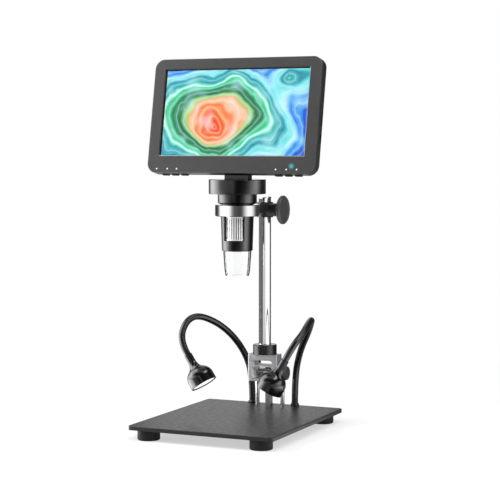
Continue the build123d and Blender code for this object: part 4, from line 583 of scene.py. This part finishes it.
def make_finishes():
    """One material for each of the record's slots, and those of single pieces."""
    return {
        **{name: finish(name, **recipe) for name, recipe in RECIPES.items()},
        "silver_cast": bracket_finish(),
        "wheel_steel": wheel_finish(),
        "clear_plastic": clear_cone_finish(),
        "glass": glass_finish(),
        "circuit_board": circuit_board_finish(),
        "bezel_grey": bezel_finish(),
        "status_teal": status_finish(),
        "led_lens": glowing_finish("led_lens", (0.75, 0.85, 0.9), 0.4),
        "lamp_window": glowing_finish("lamp_window", (1.0, 0.99, 0.96), 1.1),
    }


def dress_frame(finishes):
    """Gives every node of the model the finish of its slot, or one of its own."""
    for name, node in nodes.items():
        for material_slot in node.material_slots:
            slot = material_slot.material.name.split(".")[0]
            material_slot.material = finishes[OWN_FINISHES.get(name, slot)]


# ---------------------------------------------------------------- the picture on the screen

# Bands of a made-up agate slice from an orange core outwards: (share of the way, colour).
AGATE_REACH = 0.112                 # distance from a core at which the bands end
AGATE_CORES = ((0.056, 0.034), (0.140, 0.074))
AGATE_SQUASH = (0.9, 1.3, 0)
AGATE_SECOND_CORE_STARTS = 0.052    # the small core begins this far out in the bands
AGATE_JOIN = 0.02                   # how softly the bands of both cores run together
AGATE_BANDS = [
    (0.00, (1.0, 0.10, 0.008)), (0.08, (1.0, 0.17, 0.015)), (0.15, (1.0, 0.32, 0.08)),
    (0.20, (0.98, 0.50, 0.27)), (0.235, (0.95, 0.66, 0.46)), (0.25, (0.62, 0.74, 0.28)),
    (0.28, (0.16, 0.52, 0.22)), (0.32, (0.02, 0.22, 0.11)), (0.37, (0.04, 0.45, 0.22)),
    (0.43, (0.16, 0.80, 0.50)), (0.45, (0.62, 0.97, 0.90)), (0.47, (0.12, 0.70, 0.62)),
    (0.53, (0.03, 0.40, 0.50)), (0.58, (0.12, 0.72, 0.76)), (0.62, (0.56, 0.95, 0.98)),
    (0.65, (0.16, 0.56, 0.95)), (0.72, (0.02, 0.26, 0.85)), (0.79, (0.006, 0.07, 0.58)),
    (0.83, (0.03, 0.34, 0.92)), (0.88, (0.26, 0.66, 0.98)), (0.94, (0.38, 0.72, 1.0)),
    (1.00, (0.12, 0.60, 0.72)),
]
AGATE_WARPS = ((17.0, 0.046), (52.0, 0.011), (160.0, 0.0016))    # (noise scale, reach)
AGATE_WAVES = 16
AGATE_SHIFT = 6.0                     # how far noise shifts the waves, in radians
AGATE_SHIFT_SIZE = 20 * MM
AGATE_FOLDS = (-0.2, 1.0, 0.0, 0.85)     # heights of a wave, and the share of deeper colour there
AGATE_VEINS = (-0.80, -1.0, 0.0, 0.30)   # the same for the share of a vein's colour
AGATE_CLOUDS = (0.46, 0.70, 0.0, 0.40)   # the same for levels of noise, and the share of haze
AGATE_CLOUD_SIZE = 22 * MM
AGATE_VEIN_COLOUR = (0.75, 0.98, 1.0)
AGATE_CLOUD_COLOUR = (0.45, 0.95, 1.0)


def warped(graph, flat):
    """The picture's coordinates, bent by broad and by finer waves."""
    for scale, reach in AGATE_WARPS:
        noise = {"Vector": flat, "Scale": scale, "Detail": 0.6}
        wave = graph.node("ShaderNodeTexNoise", noise).outputs["Color"]
        push = {0: graph.vector("SUBTRACT", wave, (0.5, 0.5, 0.5)), "Scale": reach}
        moved = graph.node("ShaderNodeVectorMath", push, operation="SCALE").outputs[0]
        flat = graph.vector("ADD", flat, moved)
    return graph.vector("MULTIPLY", flat, (1, 1, 0))


def distance_from_core(graph, where, core):
    offset = graph.vector("SUBTRACT", where, (*core, 0))
    return graph.vector("LENGTH", graph.vector("MULTIPLY", offset, AGATE_SQUASH))


def picture_finish():
    """A lit display that shows a made-up agate slice in blue, teal and green round orange."""
    material, graph = new_material("picture")
    where = graph.node("ShaderNodeTexCoord").outputs["UV"]
    flat = graph.vector("MULTIPLY", where, (PICTURE_WIDTH, PICTURE_HEIGHT, 1))
    bent = warped(graph, flat)
    near, far = (distance_from_core(graph, bent, core) for core in AGATE_CORES)
    both = {0: near, 1: graph.math("ADD", far, AGATE_SECOND_CORE_STARTS), 2: AGATE_JOIN}
    blend = graph.node("ShaderNodeMath", both, operation="SMOOTH_MIN").outputs[0]
    share = graph.math("DIVIDE", blend, AGATE_REACH)
    bands = graph.ramp(share, AGATE_BANDS)
    turns = graph.math("MULTIPLY", share, 2 * math.pi * AGATE_WAVES)
    shift = graph.math("MULTIPLY", graph.noise(flat, AGATE_SHIFT_SIZE), AGATE_SHIFT)
    wave = graph.math("SINE", graph.math("ADD", turns, shift))
    fold = graph.remap(wave, *AGATE_FOLDS, smooth=True)
    folded = graph.mix(fold, bands, bands, "MULTIPLY")
    vein = graph.remap(wave, *AGATE_VEINS, smooth=True)
    veined = graph.mix(vein, folded, rgba(AGATE_VEIN_COLOUR))
    haze = graph.noise(flat, AGATE_CLOUD_SIZE, detail=1.0)
    cloud = graph.remap(haze, *AGATE_CLOUDS, smooth=True)
    lit = graph.mix(cloud, veined, rgba(AGATE_CLOUD_COLOUR), "SCREEN")
    graph.output(graph.principled({
        "Base Color": rgba((0.01, 0.01, 0.01)), "Roughness": 0.3, "Specular IOR Level": 0.0,
        "Emission Color": lit, "Emission Strength": 1.1}))
    return material


# ---------------------------------------------------------------- mesh helpers

def new_object(name, builder, material, matrix=None):
    """Makes an object from a bmesh, in the scene, with one material."""
    mesh = bpy.data.meshes.new(name)
    builder.normal_update()
    builder.to_mesh(mesh)
    builder.free()
    if matrix:
        mesh.transform(matrix)
    mesh.materials.append(material)
    made = bpy.data.objects.new(name, mesh)
    bpy.context.scene.collection.objects.link(made)
    return made


def on_screen(name, builder, material):
    """A piece that is drawn in the screen's own axes and rides on it."""
    piece = new_object(name, builder, material, SCREEN)
    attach(piece, "screen")
    return piece


def staged(name, builder, material):
    """A piece of the studio, which is not part of the object."""
    piece = new_object(name, builder, material)
    return piece


def join_rings(builder, rings):
    """Faces between each ring of points and the next."""
    for first, second in zip(rings, rings[1:]):
        for count in range(len(first)):
            after = (count + 1) % len(first)
            builder.faces.new((first[count], first[after], second[after], second[count]))


# ---------------------------------------------------------------- flexible necks

def curve_points(route):
    """Points, close together, on the smooth curve that the route's points pull into shape."""
    curve = bpy.data.curves.new("neck_line", "CURVE")
    curve.dimensions = "3D"
    spline = curve.splines.new("NURBS")
    spline.points.add(len(route) - 1)
    for point, place in zip(spline.points, route):
        point.co = (*(Vector(place) * MM), 1)
    spline.order_u = NECK_CURVE_ORDER
    spline.use_endpoint_u = True
    spline.resolution_u = NECK_CURVE_STEPS
    holder = bpy.data.objects.new("neck_line", curve)
    mesh = bpy.data.meshes.new_from_object(holder)
    points = [vertex.co.copy() for vertex in mesh.vertices]
    bpy.data.meshes.remove(mesh)
    bpy.data.objects.remove(holder)
    bpy.data.curves.remove(curve)
    return points


def evenly_spaced(points, step):
    """Points one step apart along the line through these points."""
    line = [points[0]]
    carried = 0.0
    for before, after in zip(points, points[1:]):
        run = (after - before).length
        along = step - carried
        while along <= run:
            line.append(before.lerp(after, along / run))
            along += step
        carried = run - (along - step)
    return line


def rib_height(along, turn, length):
    """Height of the wound wire at a place on the neck: round ribs, plain at both ends."""
    if along < NECK_PLAIN_END or along > length - NECK_PLAIN_END:
        return NECK_RIB_HEIGHT / 2
    phase = (along / NECK_RIB_PITCH + turn) % 1.0
    return NECK_RIB_HEIGHT * math.sqrt(max(0.0, 1 - (2 * phase - 1) ** 2))


def add_ring(builder, middle, side, up, radii):
    """A ring of points round middle, in the plane of side and up."""
    ring = []
    for count, radius in enumerate(radii):
        angle = 2 * math.pi * count / len(radii)
        offset = side * math.cos(angle) + up * math.sin(angle)
        ring.append(builder.verts.new(middle + offset * radius))
    return ring


def neck_mesh(route):
    """A tube with helical ribs along the route, a flat foot and a ball at the lamp's end."""
    step = NECK_RIB_PITCH / NECK_RINGS_PER_RIB
    line = evenly_spaced(curve_points(route), step)
    length = step * (len(line) - 1)
    core = NECK_RADIUS - NECK_RIB_HEIGHT
    builder = bmesh.new()
    side = Vector((1, 0, 0))
    rings = []
    for index, point in enumerate(line):
        before, after = line[max(index - 1, 0)], line[min(index + 1, len(line) - 1)]
        ahead = (after - before).normalized()
        side = (side - ahead * side.dot(ahead)).normalized()
        up = ahead.cross(side)
        radii = [core + rib_height(step * index, count / NECK_SIDES, length)
                 for count in range(NECK_SIDES)]
        rings.append(add_ring(builder, point, side, up, radii))
    ball = NECK_RADIUS - NECK_RIB_HEIGHT / 2
    for index in range(NECK_BALL_RINGS):
        lift = math.pi / 2 * index / NECK_BALL_RINGS
        middle = Vector(route[-1]) * MM + ahead * ball * math.sin(lift)
        rings.append(add_ring(builder, middle, side, up, [ball * math.cos(lift)] * NECK_SIDES))
    join_rings(builder, rings)
    builder.faces.new(list(reversed(rings[0])))
    builder.faces.new(rings[-1])
    return builder


def flexible_neck(side, finishes):
    """The ribbed neck of one lamp, which takes the place of the model's two neck parts."""
    route = NECK_ROUTES[side]
    finish_name = "gooseneck_black"
    piece = new_object(f"ribbed_neck_{side}", neck_mesh(route), finishes[finish_name])
    for face in piece.data.polygons:
        face.use_smooth = True
    piece.data.set_sharp_from_angle(angle=NECK_SHARP_EDGE)
    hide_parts(f"gooseneck_lower_{side}", f"gooseneck_upper_{side}")
    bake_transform(piece)


# ---------------------------------------------------------------- screen trim

def picture():
    """The lit picture, a thin sheet on the front of the display module."""
    low = (PICTURE_INSET_LEFT - PICTURE_WIDTH / 2, PICTURE_FRONT, -PICTURE_HEIGHT / 2)
    high = (PICTURE_WIDTH / 2, PICTURE_BACK, PICTURE_HEIGHT / 2 - PICTURE_INSET_TOP)
    builder = bmesh.new()
    for vertex in bmesh.ops.create_cube(builder, size=1.0)["verts"]:
        vertex.co = Vector([a + (b - a) * (c + 0.5) for a, b, c in zip(low, high, vertex.co)])
    layer = builder.loops.layers.uv.new("UVMap")
    for face in builder.faces:
        for loop in face.loops:
            at = loop.vert.co
            loop[layer].uv = (at.x / PICTURE_WIDTH + 0.5, at.z / PICTURE_HEIGHT + 0.5)
    on_screen("lit_picture", builder, picture_finish())


def picture_trim(finishes):
    """Thin bevelled lip round the opening: painted shadow at the left and top, a painted
    highlight elsewhere.
    """
    front = BEZEL_FRONT - TRIM_PROUD
    profile = [
        (0.0, BEZEL_FRONT + TRIM_DEEP), (0.0, BEZEL_FRONT + TRIM_STEP),
        (TRIM_BEVEL * TRIM_WIDTH, front), (TRIM_WIDTH, front),
        (TRIM_WIDTH, BEZEL_FRONT + TRIM_BURIED),
    ]
    builder = bmesh.new()
    rings = []
    for outward, depth in profile:
        x = (PICTURE_WIDTH / 2 + outward) * TRIM_FIT
        z = (PICTURE_HEIGHT / 2 + outward) * TRIM_FIT
        corners = [(x, depth, z), (-x, depth, z), (-x, depth, -z), (x, depth, -z)]
        rings.append([builder.verts.new(corner) for corner in corners])
    for first, second in zip(rings, rings[1:] + rings[:1]):
        for count in range(4):
            after = (count + 1) % 4
            face = builder.faces.new((first[count], second[count], second[after], first[after]))
            # the top and left faces take the painted shadow, the right and bottom ones the
            # painted highlight
            face.material_index = 1 if count < 2 else 0
    bmesh.ops.recalc_face_normals(builder, faces=builder.faces)
    trim = on_screen("picture_trim", builder, finishes["trim_painted_highlight"])
    trim.data.materials.append(finishes["trim_painted_shadow"])


def bezel_marks(finishes):
    """A plain round mark above each button."""
    builder = bmesh.new()
    facing = Matrix.Rotation(math.pi / 2, 4, "X")
    for x in MARKS:
        place = Matrix.Translation((x, BEZEL_FRONT - MARK_THICKNESS / 2, MARK_HEIGHT))
        bmesh.ops.create_cone(
            builder, cap_ends=True, segments=MARK_SIDES, radius1=MARK_RADIUS,
            radius2=MARK_RADIUS, depth=MARK_THICKNESS, matrix=place @ facing)
    on_screen("button_marks", builder, finishes["mark_white"])


# ---------------------------------------------------------------- floor, light and camera

def see_white(graph):
    """1 for the rays that look past the object: the camera's, and those of metal and glass."""
    path = graph.node("ShaderNodeLightPath")
    seen = graph.math("MAXIMUM", path.outputs["Is Camera Ray"], path.outputs["Is Glossy Ray"])
    return graph.math("MAXIMUM", seen, path.outputs["Is Transmission Ray"])


def world_light():
    """Plain soft light all round; white where the camera, metal and glass look past."""
    world = bpy.data.worlds.new("studio")
    bpy.context.scene.world = world
    world.use_nodes = True
    graph = Graph(world.node_tree)
    strength = graph.remap(see_white(graph), 0.0, 1.0, WORLD_FILL, 1.0)
    light = graph.node("ShaderNodeBackground", {"Color": rgba(WHITE), "Strength": strength})
    graph.node("ShaderNodeOutputWorld", {"Surface": light.outputs[0]})


def studio_floor():
    """Pale floor that keeps a soft part of the object's shadow and runs out into white."""
    material, graph = new_material("floor")
    where = graph.place()
    away = graph.vector("LENGTH", where)
    lit = graph.remap(away, FLOOR_SHADOW_NEAR, FLOOR_SHADOW_FAR, FLOOR_GLOW, 1.0, smooth=True)
    share = graph.math("MULTIPLY", see_white(graph), lit)
    paper = graph.node("ShaderNodeBsdfDiffuse", {"Color": rgba(FLOOR_COLOUR)}).outputs[0]
    graph.output(graph.mix_shaders(share, paper, graph.emission(1.0)))
    builder = bmesh.new()
    bmesh.ops.create_grid(builder, x_segments=1, y_segments=1, size=FLOOR_SIZE / 2)
    floor = staged("studio_floor", builder, material)
    floor.location.z = FLOOR_Z


def around(angle, distance, height):
    """A place at an angle to the right of the photograph's viewpoint, seen from the object."""
    turn = math.radians(CAMERA_AZIMUTH + angle)
    return Vector((distance * math.sin(turn), -distance * math.cos(turn), height))


def studio_lamp(name, angle, distance, height, width, tall, power):
    """A rectangular lamp that faces the object; shiny surfaces see the screens instead."""
    light = bpy.data.lights.new(name, "AREA")
    light.shape = "RECTANGLE"
    light.size = width
    light.size_y = tall
    light.energy = power
    holder = bpy.data.objects.new(name, light)
    holder.location = around(angle, distance, height)
    facing = Vector((0, 0, STUDIO_LAMPS_AIM)) - holder.location
    holder.rotation_euler = facing.to_track_quat("-Z", "Y").to_euler()
    holder.visible_glossy = False
    holder.visible_camera = False
    bpy.context.scene.collection.objects.link(holder)


def between(stops, place):
    """Smooth steps between (place, value) stops."""
    for (first, low), (second, high) in zip(stops, stops[1:]):
        if place <= second:
            share = max(0.0, (place - first) / (second - first))
            return low + (high - low) * share * share * (3 - 2 * share)
    return stops[-1][1]


def screens(name, levels, end, place, see_through=False):
    """Screens that only shiny surfaces see.

    Levels are (height or distance, stops), and place gives the point at an angle and level.
    """
    material, graph = new_material(name)
    glow = graph.node("ShaderNodeAttribute", attribute_name="glow").outputs["Fac"]
    shader = graph.emission(glow)
    if see_through:
        clear_way = graph.node("ShaderNodeBsdfTransparent").outputs[0]
        shader = graph.node("ShaderNodeAddShader", {0: shader, 1: clear_way}).outputs[0]
    graph.output(shader)
    builder = bmesh.new()
    brightness = builder.verts.layers.float.new("glow")
    columns = []
    for angle in range(-end, end + 1, SCREENS_STEP):
        column = []
        for level, stops in levels:
            vertex = builder.verts.new(place(angle, level))
            vertex[brightness] = between(stops, angle)
            column.append(vertex)
        columns.append(column)
    for first, second in zip(columns, columns[1:]):
        for low, high in zip(zip(first, second), zip(first[1:], second[1:])):
            builder.faces.new((*low, *reversed(high)))
    piece = staged(name, builder, material)
    piece.visible_camera = False
    piece.visible_diffuse = False
    piece.visible_transmission = False
    piece.visible_shadow = False
    return piece


def link_light(piece, name, receivers, state):
    """Lets a screen light only these nodes (INCLUDE), or all but these (EXCLUDE)."""
    group = bpy.data.collections.new(name)
    for receiver in receivers:
        group.objects.link(nodes[receiver])
    for entry in group.collection_objects:
        entry.light_linking.link_state = state
    piece.light_linking.receiver_collection = group


def tube_screens(tube, stops, axis):
    """See-through screens round a polished tube's axis, for this tube alone."""
    offset = Vector((*axis, 0))
    piece = screens(
        tube + "_screens", [(FLOOR_Z, stops), (LINKED_SCREENS_TOP, stops)], LINKED_SCREENS_END,
        lambda angle, height: around(angle, LINKED_SCREENS_DISTANCE, height) + offset,
        see_through=True)
    link_light(piece, tube + "_only", [tube], "INCLUDE")


def studio_screens():
    """The screens round the object and on the floor, with other ones for polished tubes."""
    walls = screens("studio_screens", SCREENS_LEVELS, SCREENS_END,
                    lambda angle, height: around(angle, SCREENS_DISTANCE, height))
    ground = screens("ground_screens", GROUND_RINGS, SCREENS_END,
                     lambda angle, distance: around(angle, distance, FLOOR_Z + GROUND_GAP))
    link_light(walls, "not_polished_walls", [*TUBES, "cover_glass"], "EXCLUDE")
    link_light(ground, "not_polished_ground", TUBES, "EXCLUDE")
    for tube, (stops, axis) in TUBES.items():
        tube_screens(tube, stops, axis)


def camera():
    """The camera at the photograph's viewpoint."""
    lens = bpy.data.cameras.new("camera")
    lens.lens = CAMERA_LENS
    lens.sensor_width = CAMERA_SENSOR
    holder = bpy.data.objects.new("camera", lens)
    holder.location = CAMERA_PLACE
    holder.rotation_euler = (math.radians(90 - CAMERA_DOWN), 0.0, math.radians(CAMERA_LEFT))
    bpy.context.scene.collection.objects.link(holder)
    bpy.context.scene.camera = holder


def main():
    finishes = make_finishes()
    dress_frame(finishes)
    for side in NECK_ROUTES:
        flexible_neck(side, finishes)
    picture()
    picture_trim(finishes)
    bezel_marks(finishes)
    world_light()
    studio_floor()
    studio_screens()
    for name, settings in STUDIO_LAMPS.items():
        studio_lamp(name, **settings)
    camera()
    bpy.context.scene.view_settings.view_transform = "Standard"


main()
